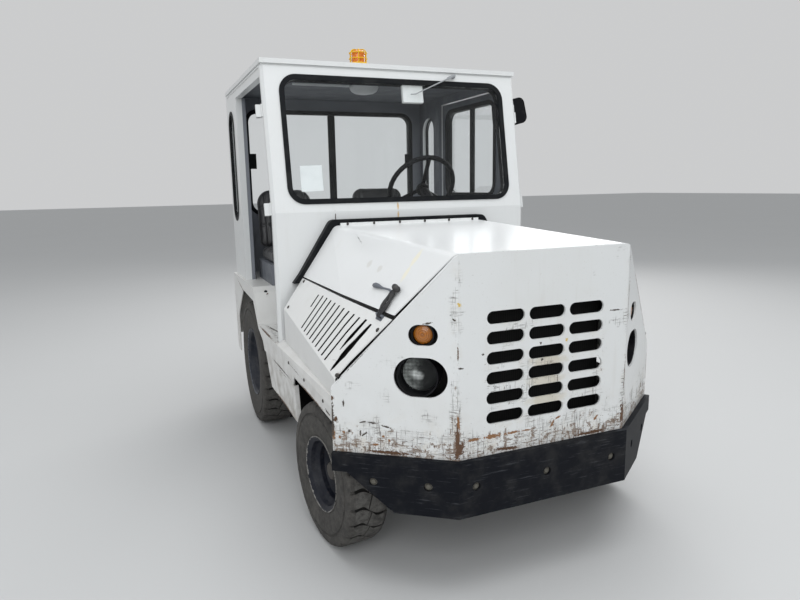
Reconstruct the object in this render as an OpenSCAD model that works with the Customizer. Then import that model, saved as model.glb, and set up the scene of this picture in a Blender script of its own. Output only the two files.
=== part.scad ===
// Airport baggage tug with a cab, built from separate sheet, frame and running-gear pieces.
// Drawn with the nose plate at y = 0, the rear at +y, the vehicle's left at +x and the ground at z = 0,
// then moved so that the origin is the centre of the towing pin's bore.

/* [Nose plate] */
// Width of the whole body across the nose plate's outer edges
body_w = 1550; // [1500:5:1600]
// Width of the nose plate's flat centre facet
nose_flat_w = 762; // [720:2:800]
// How far the outer edges lie behind the centre facet
nose_depth = 289; // [260:1:310]
// Height of the bumper's lower edge above the ground
bumper_low_z = 318; // [300:2:330]
// Height where the bumper ends and the painted plate begins
bumper_top_z = 541; // [520:1:560]
// Height of the nose plate's outer corners
corner_z = 794; // [770:2:820]
// Height of the nose plate's top edge
nose_top_z = 1308; // [1280:2:1340]
// Thickness of the nose plate
nose_t = 8; // [6:0.5:12]
// Thickness of the bumper's rubber
bumper_t = 22; // [15:1:30]
// How much of the bumper's lower corner is cut away for the front wheels
bumper_cut = 150; // [120:5:170]

/* [Grille and lamps] */
// Length of one grille slot
slot_w = 162; // [140:2:170]
// Height of one grille slot
slot_h = 49; // [40:1:55]
// Columns of slots
slot_cols = 3; // [2:1:4]
// Rows of slots
slot_rows = 6; // [4:1:7]
// Sideways pitch of the slots
slot_pitch_x = 182; // [176:1:190]
// Upright pitch of the slots
slot_pitch_z = 76.5; // [70:0.5:80]
// Height of the lowest slot row's centre
slot_low_z = 686; // [670:1:700]
// Width of the oval headlamp opening
lamp_hole_w = 203; // [190:1:210]
// Height of the oval headlamp opening
lamp_hole_h = 152; // [145:1:160]
// Height of the headlamps' centre
lamp_z = 853; // [840:1:865]
// Distance of the headlamp opening from the fold, along the side facet
lamp_in = 139; // [130:1:150]
// Diameter of the headlamp glass
lamp_d = 146; // [130:1:150]
// How far the headlamp sits behind the plate
lamp_recess = 60; // [40:1:80]
// Width of the oval indicator opening
ind_hole_w = 110; // [100:1:120]
// Height of the oval indicator opening
ind_hole_h = 78; // [70:1:85]
// Height of the indicators' centre
ind_z = 1013; // [1000:1:1025]
// Diameter of the indicator lens
ind_d = 74; // [60:1:76]

/* [Engine bay] */
// Distance of the hood's rear edge behind the nose
hood_len = 1275; // [1240:5:1290]
// Thickness of the hood and side sheets
sheet_t = 4; // [3:0.5:6]
// Width of the hood's flat top at its rear edge
crest_rear_w = 886; // [860:2:920]
// Height of the hood's top at its rear edge
crest_rear_z = 1345; // [1330:1:1380]
// Width of the hood's foot at its rear edge
foot_rear_w = 1222; // [1200:2:1260]
// Height of the hood's foot at its rear edge
foot_rear_z = 1082; // [1060:1:1100]
// Height of the hood's foot at the nose
foot_front_z = 1068; // [1050:1:1085]
// Height of the fold below the louvres, at the rear
fold_rear_z = 926; // [900:2:950]
// Height of the lower edge of the side covers
cover_low_z = 748; // [735:1:760]
// Half width of the side covers at the rear
cover_rear_x = 732; // [715:1:740]
// Gap along the seams between the sheets
seam = 8; // [6:0.5:9]
// Radius of the rounded edges along the hood and at the nose plate's top
crest_r = 40; // [20:1:45]
// Number of louvre slots in each side cover
louvres = 12; // [6:1:12]
// Width of one louvre slot
louvre_w = 15; // [10:1:20]
// Distance from one louvre slot's top to the next
louvre_pitch = 60; // [50:1:62]
// Distance of the first louvre slot's top ahead of the hood's rear edge
louvre_back = 347; // [320:1:360]
// How far the rubber behind the hood stands out beyond it
seal_out = 30; // [20:1:36]
// Largest opening angle of the hood
hood_open = 55; // [30:1:60]

/* [Side bands] */
// Height of the bands' lower edge, above the front tyres
band_low_z = 655; // [652:1:665]
// How far the bands' faces lie inside the nose plate's outer edges
band_in = 3; // [1:0.5:8]
// How far the lower side panels lie inside the nose plate's outer edges
skirt_in = 9; // [6:0.5:20]
// Height of the bands' outer fold at the cab
fold_out_z = 726; // [718:1:730]
// How much lower the bands' outer fold is at the nose
fold_drop = 22; // [0:1:26]
// Height of the seam between the bands and the lower side panels
skirt_top_z = 606; // [600:1:620]
// Height of the lower side panels' bottom edge
skirt_low_z = 427; // [400:1:450]
// Distance from the front axle to the lower side panels
skirt_gap = 326; // [322:1:340]

/* [Cab] */
// Gap between the hood's rear edge and the cab's front panel
cab_gap = 50; // [45:1:60]
// Length of the cab from its front panel to its rear face
cab_len = 1435; // [1415:1:1450]
// Width of the cab
cab_w = 1508; // [1480:2:1530]
// Thickness of the cab's walls and posts
wall_t = 40; // [30:1:45]
// Size of the slanted edges at the cab's front corners
front_cut = 15; // [5:1:20]
// Height of the seam below the windscreen panel
seam_z = 1417; // [1400:1:1430]
// Lean of the windscreen panel, in degrees
lean = 10; // [6:0.5:14]
// Height of the roof's top
roof_z = 2203; // [2150:1:2260]
// Thickness of the roof slab
roof_t = 34; // [28:1:40]
// Height of the cab's floor and steps
floor_z = 730; // [720:1:740]
// Height of the rear deck that carries the seats
deck_z = 940; // [930:1:950]
// Distance from the cab's front panel to the deck's front riser
riser_back = 630; // [615:1:645]
// Distance from the cab's front panel to the rear door posts
post_back = 1015; // [995:1:1035]
// Depth of the rails above the doorways, below the roof slab
rail_h = 54; // [45:1:70]
// Thickness of the floor and deck plates
plate_t = 6; // [5:0.5:8]
// Depth of the dashboard behind the front panel
dash_deep = 130; // [110:5:150]
// Height of the dashboard's lower edge
dash_low_z = 1240; // [1220:5:1260]

/* [Windows] */
// Width of the windscreen opening
screen_w = 1307; // [1290:1:1320]
// Height of the windscreen opening, along the panel
screen_h = 654; // [640:1:662]
// Distance of the windscreen opening above the seam, along the panel
screen_up = 55; // [48:1:60]
// Corner radius of the large windows
window_r = 80; // [60:1:100]
// Width of the black rubber round the windows
rubber_w = 27; // [24:1:32]
// Thickness of the window panes
pane_t = 6; // [4:0.5:8]
// Width of the rear window opening
rear_win_w = 1260; // [1200:5:1280]
// Height of the rear window's lower edge
rear_win_z = 1365; // [1340:5:1400]
// Height of the rear window opening
rear_win_h = 715; // [690:5:730]
// Width of the slit windows
slit_w = 196; // [160:2:200]
// Height of the slit windows
slit_h = 706; // [680:2:720]
// Distance of the slit windows' centre ahead of the cab's rear face
slit_in = 188; // [180:1:200]
// Height of the slit windows' centre
slit_z = 1691; // [1670:1:1705]

/* [Left door] */
// Thickness of the door
door_t = 32; // [25:1:38]
// Gap round the door
door_gap = 7; // [6:0.5:9]
// Largest opening angle of the door
door_open = 75; // [45:1:80]

/* [Seats and controls] */
// Width of one seat
seat_w = 405; // [390:5:420]
// Space between the two seats
seat_gap = 285; // [270:5:300]
// Space between the passenger's seat and the cab's wall
seat_clear = 68; // [50:1:80]
// Thickness of the seats' cushions
cushion_t = 85; // [70:5:100]
// Depth of the seats' cushions
cushion_l = 430; // [400:5:440]
// Height of the seats' backs
back_h = 395; // [370:5:410]
// Height of the seat boxes above the deck
seat_box_h = 130; // [100:5:150]
// Diameter of the steering wheel
wheel_rim_d = 440; // [400:5:450]
// Height of the steering wheel's hub
wheel_hub_z = 1520; // [1490:5:1560]
// Distance from the cab's front panel to the steering wheel's hub
wheel_hub_back = 315; // [295:5:335]
// Slope of the steering column, in degrees
column_slope = 32; // [25:1:40]

/* [Front axle] */
// Distance of the front axle behind the nose
front_axle_y = 600; // [590:1:612]
// Outer diameter of the front tyres
front_tyre_d = 632; // [620:1:640]
// Width of the front tyres
front_tyre_w = 184; // [170:1:190]
// Diameter of the front rims where the tyres sit
front_rim_d = 302; // [290:1:312]
// Half width over the front tyres
front_face_x = 764; // [755:1:767]
// Distance of the kingpins from the centre plane
kingpin_x = 540; // [530:1:550]
// Radius of the kingpins
kingpin_r = 16; // [12:0.5:18]
// Steering angle as parked, to the vehicle's left
steer_rest = 7; // [0:1:12]
// Largest steering angle to each side
steer_max = 30; // [20:1:30]
// Length of the steering arms
arm_len = 135; // [120:1:140]

/* [Rear axle] */
// Distance of the rear axle ahead of the body's rear end
rear_axle_in = 570; // [560:1:580]
// Outer diameter of the rear tyres
rear_tyre_d = 810; // [790:2:816]
// Width of the rear tyres
rear_tyre_w = 215; // [200:1:218]
// Diameter of the rear rims where the tyres sit
rear_rim_d = 412; // [396:2:424]
// Half width over the rear tyres
rear_face_x = 765; // [755:1:768]

/* [Frame and hitch] */
// Height of the frame rails' lower edge
rail_low_z = 520; // [515:1:530]
// Height of the frame rails
rail_tall = 120; // [100:5:130]
// Distance of the rails' inner faces from the centre plane
rail_in_x = 300; // [290:1:310]
// Width of one frame rail
rail_w = 60; // [50:1:70]
// Distance of the body's rear end behind the cab's rear face
tail_step = 30; // [25:1:50]
// Thickness of the rear end plate
rear_plate_t = 25; // [20:1:30]
// Distance of the towing pin behind the rear end plate
pin_out = 110; // [100:1:125]
// Height of the towing pin's bore centre above the ground
pin_z = 420; // [400:1:440]
// Radius of the towing pin's bore
pin_r = 16; // [12:0.5:18]
// Clear height of the hitch jaw
jaw_gap = 80; // [60:2:100]
// Thickness of each hitch jaw plate
jaw_t = 22; // [16:1:26]

/* [Engine and drive line] */
// Width of the engine
engine_w = 460; // [400:10:500]
// Length of the engine
engine_l = 720; // [650:10:740]
// Height of the engine
engine_h = 440; // [400:10:460]
// Width of the gearbox
gearbox_w = 300; // [250:10:320]
// Length of the gearbox
gearbox_l = 290; // [250:10:300]
// Width of the radiator
radiator_w = 580; // [540:10:600]
// Height of the radiator
radiator_h = 530; // [500:10:560]
// Thickness of the radiator
radiator_t = 70; // [50:5:80]
// Radius of the drive shaft
shaft_r = 34; // [28:1:38]
// Radius of the rear axle's round middle
diff_r = 135; // [120:5:145]

/* [Roof fittings] */
// Diameter of the beacon's lens
beacon_d = 70; // [60:1:80]
// Height of the beacon's lens
beacon_h = 66; // [55:1:75]
// Distance of the beacon from the centre plane, to the right
beacon_x = 195; // [180:1:210]

/* [Hidden] */

$fn = 48;
white = "gainsboro";
black = [0.09, 0.09, 0.1];
dark_metal = [0.2, 0.21, 0.23];
big = 5000;
fit_gap = 0.3;
run_gap = 0.05;

// Points that several pieces share
nose_half = nose_flat_w / 2;
body_half = body_w / 2;
band_x = body_half - band_in;
skirt_x = body_half - skirt_in;
cab_y = hood_len + cab_gap;
cab_rear_y = cab_y + cab_len;
riser_y = cab_y + riser_back;
post_y = cab_y + post_back;
slit_y = cab_rear_y - slit_in;
wheel_hub_y = cab_y + wheel_hub_back;
rear_y = cab_rear_y + tail_step;
rear_axle_y = rear_y - rear_axle_in;
pin_y = rear_y + rear_plate_t + pin_out;
passenger_x = cab_w / 2 - wall_t - seat_clear - seat_w / 2;
driver_x = seat_w + seat_gap - passenger_x;
wheel_x = driver_x - 9;
facet_len = sqrt(pow(body_half - nose_half, 2) + pow(nose_depth, 2));
facet_turn = atan2(nose_depth, body_half - nose_half);
crest_slope = (nose_top_z - corner_z) / (body_half - nose_half);
foot_front_x = nose_half + (nose_top_z - foot_front_z) / crest_slope;
cover_front_x = body_half - 6;
cover_front_z = corner_z + 7;
cab_half = cab_w / 2;
roof_low_z = roof_z - roof_t;
door_top_z = roof_low_z - rail_h;
post_front_y = cab_y + wall_t;
front_r = front_tyre_d / 2;
rear_r = rear_tyre_d / 2;
screen_mid = screen_up + screen_h / 2;
rail_top_z = rail_low_z + rail_tall;

function half_turn(p) = [for (i = [len(p) - 1 : -1 : 0]) [-p[i][0], p[i][1]]];
function both_halves(p) = concat(p, half_turn(p));
function unit(v) = v / norm(v);
function left_of(v) = [-v[1], v[0]];
function shifted(a, b, t) = a + left_of(unit(b - a)) * t;
function cross2(a, b) = a[0] * b[1] - a[1] * b[0];
function meet(p, d, q, e) = p + d * cross2(q - p, e) / cross2(d, e);
// A polygon moved inwards by t on every side, for points that run counter-clockwise
function inset(p, t) = [for (i = [0 : len(p) - 1])
    let (a = p[(i + len(p) - 1) % len(p)], b = p[i], c = p[(i + 1) % len(p)])
    meet(shifted(a, b, t), b - a, shifted(b, c, t), c - b)];

// The points of a rounded corner at b, and a polygon with the corners in picks rounded
function arc(a, b, c, r) = let (u = unit(a - b), v = unit(c - b), half = acos(u * v) / 2,
    m = b + unit(u + v) * r / sin(half), p = b + u * r / tan(half) - m, turn = cross2(u, v) > 0 ? -1 : 1)
    [for (k = [0 : 5]) let (w = turn * k * (180 - 2 * half) / 5)
    m + [p[0] * cos(w) - p[1] * sin(w), p[0] * sin(w) + p[1] * cos(w)]];
function round_off(p, picks, r) = [for (i = [0 : len(p) - 1])
    for (q = len([for (k = picks) if (k == i) k]) > 0
    ? arc(p[(i + len(p) - 1) % len(p)], p[i], p[(i + 1) % len(p)], r) : [p[i]]) q];
function round_crest(p, r) = round_off(p, [len(p) / 2 - 1, len(p) / 2], r);

module at_pin() { translate([0, -pin_y, -pin_z]) children(); }
module both_sides() {
    children();
    mirror([1, 0, 0]) children();
}
module on_side(side) { mirror([side < 0 ? 1 : 0, 0, 0]) children(); }
// A profile in y and z, drawn from x0 outwards by t
module side_sheet(x0, t) { translate([x0, 0, 0]) rotate([90, 0, 90]) linear_extrude(t) children(); }
// A profile in x and z, drawn from y0 rearwards by t
module cross_sheet(y0, t) { translate([0, y0 + t, 0]) rotate([90, 0, 0]) linear_extrude(t) children(); }
module rounded(w, h, r) {
    square([w - 2 * r, h], center = true);
    square([w, h - 2 * r], center = true);
    for (x = [-1, 1], y = [-1, 1]) translate([x * (w / 2 - r), y * (h / 2 - r)]) circle(r);
}
module slot(w, h) {
    square([w - h, h], center = true);
    for (x = [-1, 1]) translate([x * (w - h) / 2, 0]) circle(h / 2);
}
module ring(w, h, r, t) {
    difference() {
        rounded(w, h, r);
        rounded(w - 2 * t, h - 2 * t, r - t);
    }
}
module tube(p, q, r) {
    v = q - p;
    translate(p) rotate([0, acos(v[2] / norm(v)), atan2(v[1], v[0])]) cylinder(r = r, h = norm(v));
}

// Nose plate: the plan of the folded plate, between two depths behind its outer face
function facet_point(x, back) = [x * (nose_half - back * tan(facet_turn / 2)), back];
function nose_line(back) = [
    [-body_half + back * sin(facet_turn), nose_depth + back * cos(facet_turn)],
    facet_point(-1, back), facet_point(1, back),
    [body_half - back * sin(facet_turn), nose_depth + back * cos(facet_turn)]];
function reversed(p) = [for (i = [len(p) - 1 : -1 : 0]) p[i]];
module nose_band(front, back) { polygon(concat(nose_line(front), reversed(nose_line(back)))); }
module behind_nose(back) {
    line = nose_line(back);
    linear_extrude(big) polygon(concat([[-body_half - 90, line[0][1]]], line,
        [[body_half + 90, line[3][1]], [body_half + 90, big], [-body_half - 90, big]]));
}
// Moves a shape onto a side facet: x along the facet from the fold, y along its normal, z up
module on_facet(side) {
    on_side(side) translate([nose_half, 0, 0]) rotate([0, 0, facet_turn]) children();
}
module bumper_outline(low_z, cut) {
    polygon([[-body_half - 60, bumper_top_z], [-body_half - 60, low_z + cut],
        [-body_half + 35, low_z + cut], [-body_half + 35 + cut, low_z],
        [body_half - 35 - cut, low_z], [body_half - 35, low_z + cut],
        [body_half + 60, low_z + cut], [body_half + 60, bumper_top_z]]);
}
module nose_outline() {
    polygon(round_off([[-body_half, bumper_top_z], [body_half, bumper_top_z], [body_half, corner_z],
        [nose_half, nose_top_z], [-nose_half, nose_top_z], [-body_half, corner_z]], [3, 4], crest_r));
    bumper_outline(bumper_low_z + 16, bumper_cut);
}
module grille_slots() {
    for (c = [0 : slot_cols - 1], r = [0 : slot_rows - 1])
        translate([(c - (slot_cols - 1) / 2) * slot_pitch_x, slot_low_z + r * slot_pitch_z])
            slot(slot_w, slot_h);
}
module nose_plate() {
    color(white) difference() {
        intersection() {
            linear_extrude(big) nose_band(0, nose_t);
            cross_sheet(-100, 1000) nose_outline();
        }
        cross_sheet(-50, 150) grille_slots();
        for (side = [-1, 1]) on_facet(side) {
            translate([lamp_in, 0, lamp_z]) rotate([90, 0, 0]) linear_extrude(90, center = true)
                slot(lamp_hole_w, lamp_hole_h);
            translate([lamp_in - 11, 0, ind_z]) rotate([90, 0, 0]) linear_extrude(90, center = true)
                slot(ind_hole_w, ind_hole_h);
        }
    }
}
module bumper() {
    color(black) difference() {
        intersection() {
            linear_extrude(big) nose_band(-bumper_t, -fit_gap);
            cross_sheet(-100, 1000) bumper_outline(bumper_low_z, bumper_cut);
        }
        for (x = [-1, 0, 1]) translate([x * 315, -bumper_t, bumper_top_z - 105])
            rotate([90, 0, 0]) cylinder(r = 17, h = 24, center = true);
        for (side = [-1, 1], s = [110, 324]) on_facet(side) translate([s, -bumper_t, bumper_top_z - 105])
            rotate([90, 0, 0]) cylinder(r = 17, h = 24, center = true);
    }
}
// Lamps sit in cups behind the side facets
module facet_cup(along, up, d, depth, recess) {
    translate([along, nose_t + fit_gap, up]) rotate([-90, 0, 0]) difference() {
        cylinder(d = d + 12, h = depth);
        translate([0, 0, -1]) cylinder(d = d + 1, h = recess - nose_t + 1);
    }
}
module lamp_bodies() {
    color(black) for (side = [-1, 1]) on_facet(side) {
        facet_cup(lamp_in + 14, lamp_z, lamp_d, lamp_recess + 50, lamp_recess + 10);
        facet_cup(lamp_in - 8, ind_z, ind_d, 50, 32);
    }
}
module lens(d, t, bulge) {
    rotate([90, 0, 0]) rotate_extrude() polygon(concat([[0, 0]], [[d / 2, 0], [d / 2, t]],
        [for (i = [1 : 6]) let (a = i * 15) [d / 2 * cos(a), t + bulge * sin(a)]]));
}
module headlamp_glass() {
    color([0.8, 0.85, 0.85, 0.6]) for (side = [-1, 1]) on_facet(side)
        translate([lamp_in + 14, lamp_recess + 10, lamp_z]) lens(lamp_d, 8, 12);
}
module indicator_lenses() {
    color([0.9, 0.5, 0.1]) for (side = [-1, 1]) on_facet(side)
        translate([lamp_in - 8, 32, ind_z]) lens(ind_d, 10, 14);
}

// Engine bay: one loft from the nose to the hood's rear edge, inset for each sheet
function bay_front() = [[nose_half, nose_top_z], [foot_front_x, foot_front_z],
    [cover_front_x, cover_front_z], [cover_front_x, cover_low_z]];
function bay_rear() = [[crest_rear_w / 2, crest_rear_z], [foot_rear_w / 2, foot_rear_z],
    [cover_rear_x, fold_rear_z], [cover_rear_x, cover_low_z]];
// A frame on the bay's side between corners k and k - 1: x down the slope, y rearwards, z outwards
function bay_at(i, y) = bay_front()[i] + (bay_rear()[i] - bay_front()[i]) * y / hood_len;
module on_slope(side, y, k, part) {
    low = bay_at(k, y);
    high = bay_at(k - 1, y);
    spot = low + (high - low) * part;
    turn = atan2(high[1] - low[1], low[0] - high[0]);
    on_side(side) translate([spot[0], y, spot[1]]) rotate([0, turn, 0]) rotate([3, 0, 0]) children();
}
module slice(y, t, points) {
    cross_sheet(y, 0.01) polygon(round_crest(inset(both_halves(points), t), crest_r - t));
}
module bay_loft(t, first, last) {
    pick = [for (i = [first : last]) i];
    hull() {
        slice(0, t, reversed([for (i = pick) bay_front()[i]]));
        slice(hood_len, t, reversed([for (i = pick) bay_rear()[i]]));
    }
}
module hood_foot_cut(side_gap) {
    hull() for (e = [[-1, foot_front_z + seam], [hood_len + 1, foot_rear_z]])
        translate([-big / 2, e[0], e[1] - 700 + side_gap]) cube([big, 0.01, 700]);
}
flange_h = 13;
hinge_r = 3;
hinge_places = [-300, 0, 300];
hood_axis_z = crest_rear_z + 7;
module at_hood_hinge(x) { translate([x, hood_len - 1, hood_axis_z]) children(); }
module hood_hinges() {
    color(dark_metal) for (x = hinge_places) at_hood_hinge(x) {
        rotate([0, 90, 0]) cylinder(r = hinge_r, h = 88, center = true);
        rotate([0, 90, 0]) cylinder(r = 6, h = 44, center = true);
        translate([-20, 0, -2]) cube([40, cab_gap + 1 - fit_gap, 4]);
    }
}
module hood() {
    color(white) difference() {
        intersection() {
            bay_loft(0, 0, 2);
            behind_nose(nose_t + seam);
        }
        bay_loft(sheet_t, 0, 2);
        hood_foot_cut(seam / 2);
    }
    color(white) {
        translate([-crest_rear_w / 2 + 30, hood_len - 14, crest_rear_z - 2])
            cube([crest_rear_w - 60, 5, flange_h + 2]);
        for (x = hinge_places, s = [-1, 1]) at_hood_hinge(x + s * 33) difference() {
            union() {
                rotate([0, 90, 0]) cylinder(r = 6, h = 20, center = true);
                translate([-10, -10, -6]) cube([20, 8, 8]);
            }
            rotate([0, 90, 0]) cylinder(r = hinge_r + run_gap, h = 40, center = true);
        }
    }
}
// Louvre slots: each runs down the cover's slope and leans rearwards. The first one is short.
// On the right-hand cover, the last but one is half closed and the one nearest the nose is torn wide.
louvre_fan = 6;
louvre_low = 0.07;
louvre_high = 0.82;
tear = [[0.82, 8], [0.7, 14], [0.55, 16], [0.45, 21], [0.3, 23], [0.22, 15], [0.12, 12], [0.05, 4]];
pinch = [[0.84, 9], [0.7, 12], [0.54, 14], [0.44, 10], [0.32, 3]];
plain = [[louvre_high, louvre_w / 2], [louvre_low, louvre_w / 2]];
short = [[louvre_high - 0.03, louvre_w / 2], [0.5, louvre_w / 2]];
module louvre(side, i) {
    y = hood_len - louvre_back - i * louvre_pitch;
    steps = i == 0 ? short : side > 0 ? plain : i == louvres - 1 ? tear : i == louvres - 2 ? pinch : plain;
    long = norm(bay_at(1, y) - bay_at(2, y));
    lean_back = 20 + i * louvre_fan;
    slant = lean_back / (louvre_high - louvre_low);
    line = [for (q = steps) [-long * q[0], slant * (louvre_high - q[0]), q[1]]];
    on_slope(side, y, 2, 0) linear_extrude(60, center = true) polygon(concat(
        [for (q = line) [q[0], q[1] - q[2]]], reversed([for (q = line) [q[0], q[1] + q[2]]])));
}
module engine_cover(side) {
    color(white) difference() {
        intersection() {
            bay_loft(0, 0, 3);
            behind_nose(nose_t + fit_gap);
            translate([side > 0 ? 0 : -big, 0, 0]) cube([big, hood_len, big]);
        }
        difference() {
            bay_loft(sheet_t, 0, 3);
            translate([-big / 2, 0, cover_low_z]) cube([big, big, sheet_t]);
        }
        hull() for (e = [[-1, foot_front_z], [hood_len + 1, foot_rear_z]])
            translate([-big / 2, e[0], e[1] - seam / 2]) cube([big, 0.01, 700]);
        translate([-body_half + 110, -10, cover_low_z - 5]) cube([body_w - 220, big, 30]);
        for (i = [0 : louvres - 1]) louvre(side, i);
    }
}

// Side band over the front wheels, with the lower side panel behind them
ledge_z = cover_low_z - fit_gap - sheet_t;
band_front = nose_depth - 20;
function cover_x(y) = cover_front_x + (cover_rear_x - cover_front_x) * y / hood_len;
function fold_z(y) = fold_out_z - fold_drop * (cab_y - y) / cab_y;
module ledge_slice(y) {
    cross_sheet(y, 0.01) polygon([[cover_x(y) - 20, ledge_z], [cover_x(y), ledge_z],
        [band_x - 4, fold_z(y) - 4], [band_x, fold_z(y) - 4], [band_x, fold_z(y)],
        [cover_x(y) + 2, ledge_z + sheet_t], [cover_x(y) - 20, ledge_z + sheet_t]]);
}
arch_shape = [[-675, -105], [-675, 15], [-592, 122], [-487, 252], [-352, 302], [-217, 449], [165, 463],
    [400, 285], [445, 235], [445, -105]];
arch = [for (p = arch_shape) [rear_axle_y + p[0], rear_r + p[1]]];
function arch_y(i, z) = let (p = arch[i], q = arch[i + 1])
    p[0] + (q[0] - p[0]) * (z - p[1]) / (q[1] - p[1]);
skirt_y = front_axle_y + skirt_gap;
skirt_lean = 34;
skirt_line = [[skirt_y, skirt_low_z], [arch_y(1, skirt_low_z), skirt_low_z], arch[2],
    [arch_y(2, skirt_top_z - 2), skirt_top_z - 2], [skirt_y + skirt_lean, skirt_top_z - 2]];
module side_rail(side) {
    color(white) on_side(side) intersection() {
        union() {
            hull() {
                ledge_slice(band_front);
                ledge_slice(cab_y - fit_gap);
            }
            side_sheet(band_x - sheet_t, sheet_t) polygon([[band_front, band_low_z],
                [skirt_y + 10, band_low_z], [skirt_y + skirt_lean, skirt_top_z + 2],
                [cab_y - fit_gap, skirt_top_z + 2],
                [cab_y - fit_gap, fold_out_z - 3], [band_front, fold_z(band_front) - 3]]);
            side_sheet(skirt_x - sheet_t, sheet_t) polygon(skirt_line);
            side_sheet(skirt_x - 20, 20) polygon([skirt_line[0], skirt_line[0] + [6, 0],
                skirt_line[4] + [6, 0], skirt_line[4]]);
            translate([skirt_x - sheet_t - 6, skirt_y + 60, skirt_top_z - 18])
                cube([band_x - skirt_x + 6.5, cab_y - skirt_y - 80, 36]);
        }
        behind_nose(nose_t + fit_gap);
    }
}

// Rear fender box with its wheel arch, and the step in front of it
fender = [[rear_axle_y - 485, skirt_low_z - 50], [rear_y - 35, skirt_low_z - 50], [rear_y, skirt_low_z + 20],
    [rear_y, deck_z], [riser_y + 50, deck_z], [riser_y + 5, deck_z - 30], [riser_y - 95, floor_z],
    [post_front_y, floor_z], [post_front_y, skirt_top_z + 2], [rear_axle_y - 485, skirt_top_z + 2]];
axle_slot = [for (p = [[-80, -300], [80, -300], [80, 30], [50, 75], [-50, 75], [-80, 30]])
    [rear_axle_y + p[0], rear_r + p[1]]];
well_x = 500;
well_in = well_x + plate_t;
well_w = band_x - well_x - 2 * plate_t;
module body_side(side) {
    color(white) on_side(side) difference() {
        union() {
            side_sheet(well_x, band_x - well_x) polygon(fender);
            translate([band_x - plate_t, cab_y, skirt_top_z + 2])
                cube([plate_t, wall_t + 20, fold_out_z - skirt_top_z - 2]);
            translate([cab_half + fit_gap, cab_y, fold_out_z - plate_t])
                cube([band_x - cab_half - fit_gap, wall_t + 20, plate_t]);
        }
        side_sheet(well_in, well_w) polygon(inset(fender, plate_t));
        side_sheet(well_in, band_x) polygon(arch);
        side_sheet(well_x - 1, plate_t + 2) polygon(axle_slot);
        translate([well_in, rear_axle_y - 700, 0]) cube([well_w, big, skirt_low_z + 60]);
        translate([well_in, post_front_y - 5, 0]) cube([well_w, riser_y - post_front_y - 60, floor_z - 20]);
        for (i = [0 : 7], j = [0 : 2])
            translate([well_x + 110 + j * 60, post_front_y + 45 + i * 58, floor_z - 20])
            cylinder(r = 12, h = 40);
    }
}

module cab_floor() {
    w = well_x - fit_gap;
    color(white) {
        translate([-w, post_front_y, floor_z - plate_t]) cube([2 * w, riser_y - post_front_y, plate_t]);
        translate([-w, riser_y, floor_z - plate_t]) cube([2 * w, plate_t, deck_z - floor_z + plate_t]);
        translate([-w, riser_y, deck_z - plate_t]) cube([2 * w, rear_y - riser_y, plate_t]);
        for (x = [driver_x, -passenger_x]) translate([x - seat_w / 2, riser_y + 45, deck_z])
            cube([seat_w, 430, seat_box_h]);
    }
}
// The cab's front panel in plan, with slanted edges
front_plan = [[-cab_half, wall_t], [-cab_half, front_cut], [-cab_half + front_cut, 0],
    [cab_half - front_cut, 0], [cab_half, front_cut], [cab_half, wall_t]];
module cowl() {
    color(white) translate([0, cab_y, floor_z - 34]) linear_extrude(seam_z - floor_z + 34)
        polygon(front_plan);
    color(dark_metal) side_sheet(-cab_half + wall_t, cab_w - 2 * wall_t) polygon(dash);
}
dash = [[post_front_y, dash_low_z], [post_front_y + dash_deep - 30, dash_low_z],
    [post_front_y + dash_deep, dash_low_z + 40], [post_front_y + dash_deep - 50, seam_z - 2],
    [post_front_y, seam_z - 2]];
// Moves a shape into the windscreen panel's plane: x across, y up the panel, z forwards
module on_screen() { translate([0, cab_y, seam_z]) rotate([90 - lean, 0, 0]) children(); }
module windscreen_frame() {
    color(white) intersection() {
        on_screen() difference() {
            rotate([-90, 0, 0]) linear_extrude(big) polygon(front_plan);
            translate([0, screen_mid, -wall_t - 50]) linear_extrude(wall_t + 100)
                rounded(screen_w, screen_h, window_r);
        }
        translate([-big / 2, 0, seam_z]) cube([big, big, roof_low_z - seam_z]);
    }
}
screen_top_y = cab_y + (roof_low_z - seam_z) * tan(lean);
roof_out = 4;
module roof() {
    color(white) {
        translate([-cab_half - roof_out, screen_top_y - 8, roof_low_z + 10])
            cube([cab_w + 2 * roof_out, cab_rear_y - screen_top_y + 16, roof_t - 10]);
        translate([-cab_half + 4, screen_top_y + 6, roof_low_z])
            cube([cab_w - 8, cab_rear_y - screen_top_y - 10, 12]);
        both_sides() {
            translate([cab_half - wall_t, screen_top_y + wall_t / cos(lean) + fit_gap, door_top_z])
                cube([wall_t, cab_rear_y - wall_t - screen_top_y - wall_t / cos(lean) - fit_gap, rail_h + 1]);
            translate([cab_half - 1, screen_top_y + wall_t / cos(lean) + 2, roof_low_z - 8])
                cube([roof_out + 1, cab_rear_y - wall_t - screen_top_y - wall_t / cos(lean) - 4, 6]);
        }
    }
}
module quarter_panel(side) {
    color(white) on_side(side) difference() {
        union() {
            side_sheet(cab_half - wall_t, wall_t) polygon([[post_y, deck_z], [cab_rear_y - wall_t, deck_z],
                [cab_rear_y - wall_t, door_top_z], [post_y, door_top_z]]);
            translate([cab_half - 62, post_y, deck_z]) cube([62, 50, door_top_z - deck_z]);
        }
        side_sheet(cab_half - 90, 140) translate([slit_y, slit_z])
            rotate([0, 0, 90]) slot(slit_h, slit_w);
    }
}
module rear_wall() {
    color(white) difference() {
        translate([-cab_half, cab_rear_y - wall_t, deck_z]) cube([cab_w, wall_t, roof_low_z - deck_z]);
        cross_sheet(cab_rear_y - 100, 200) translate([0, rear_win_z + rear_win_h / 2])
            rounded(rear_win_w, rear_win_h, window_r);
    }
}
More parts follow.
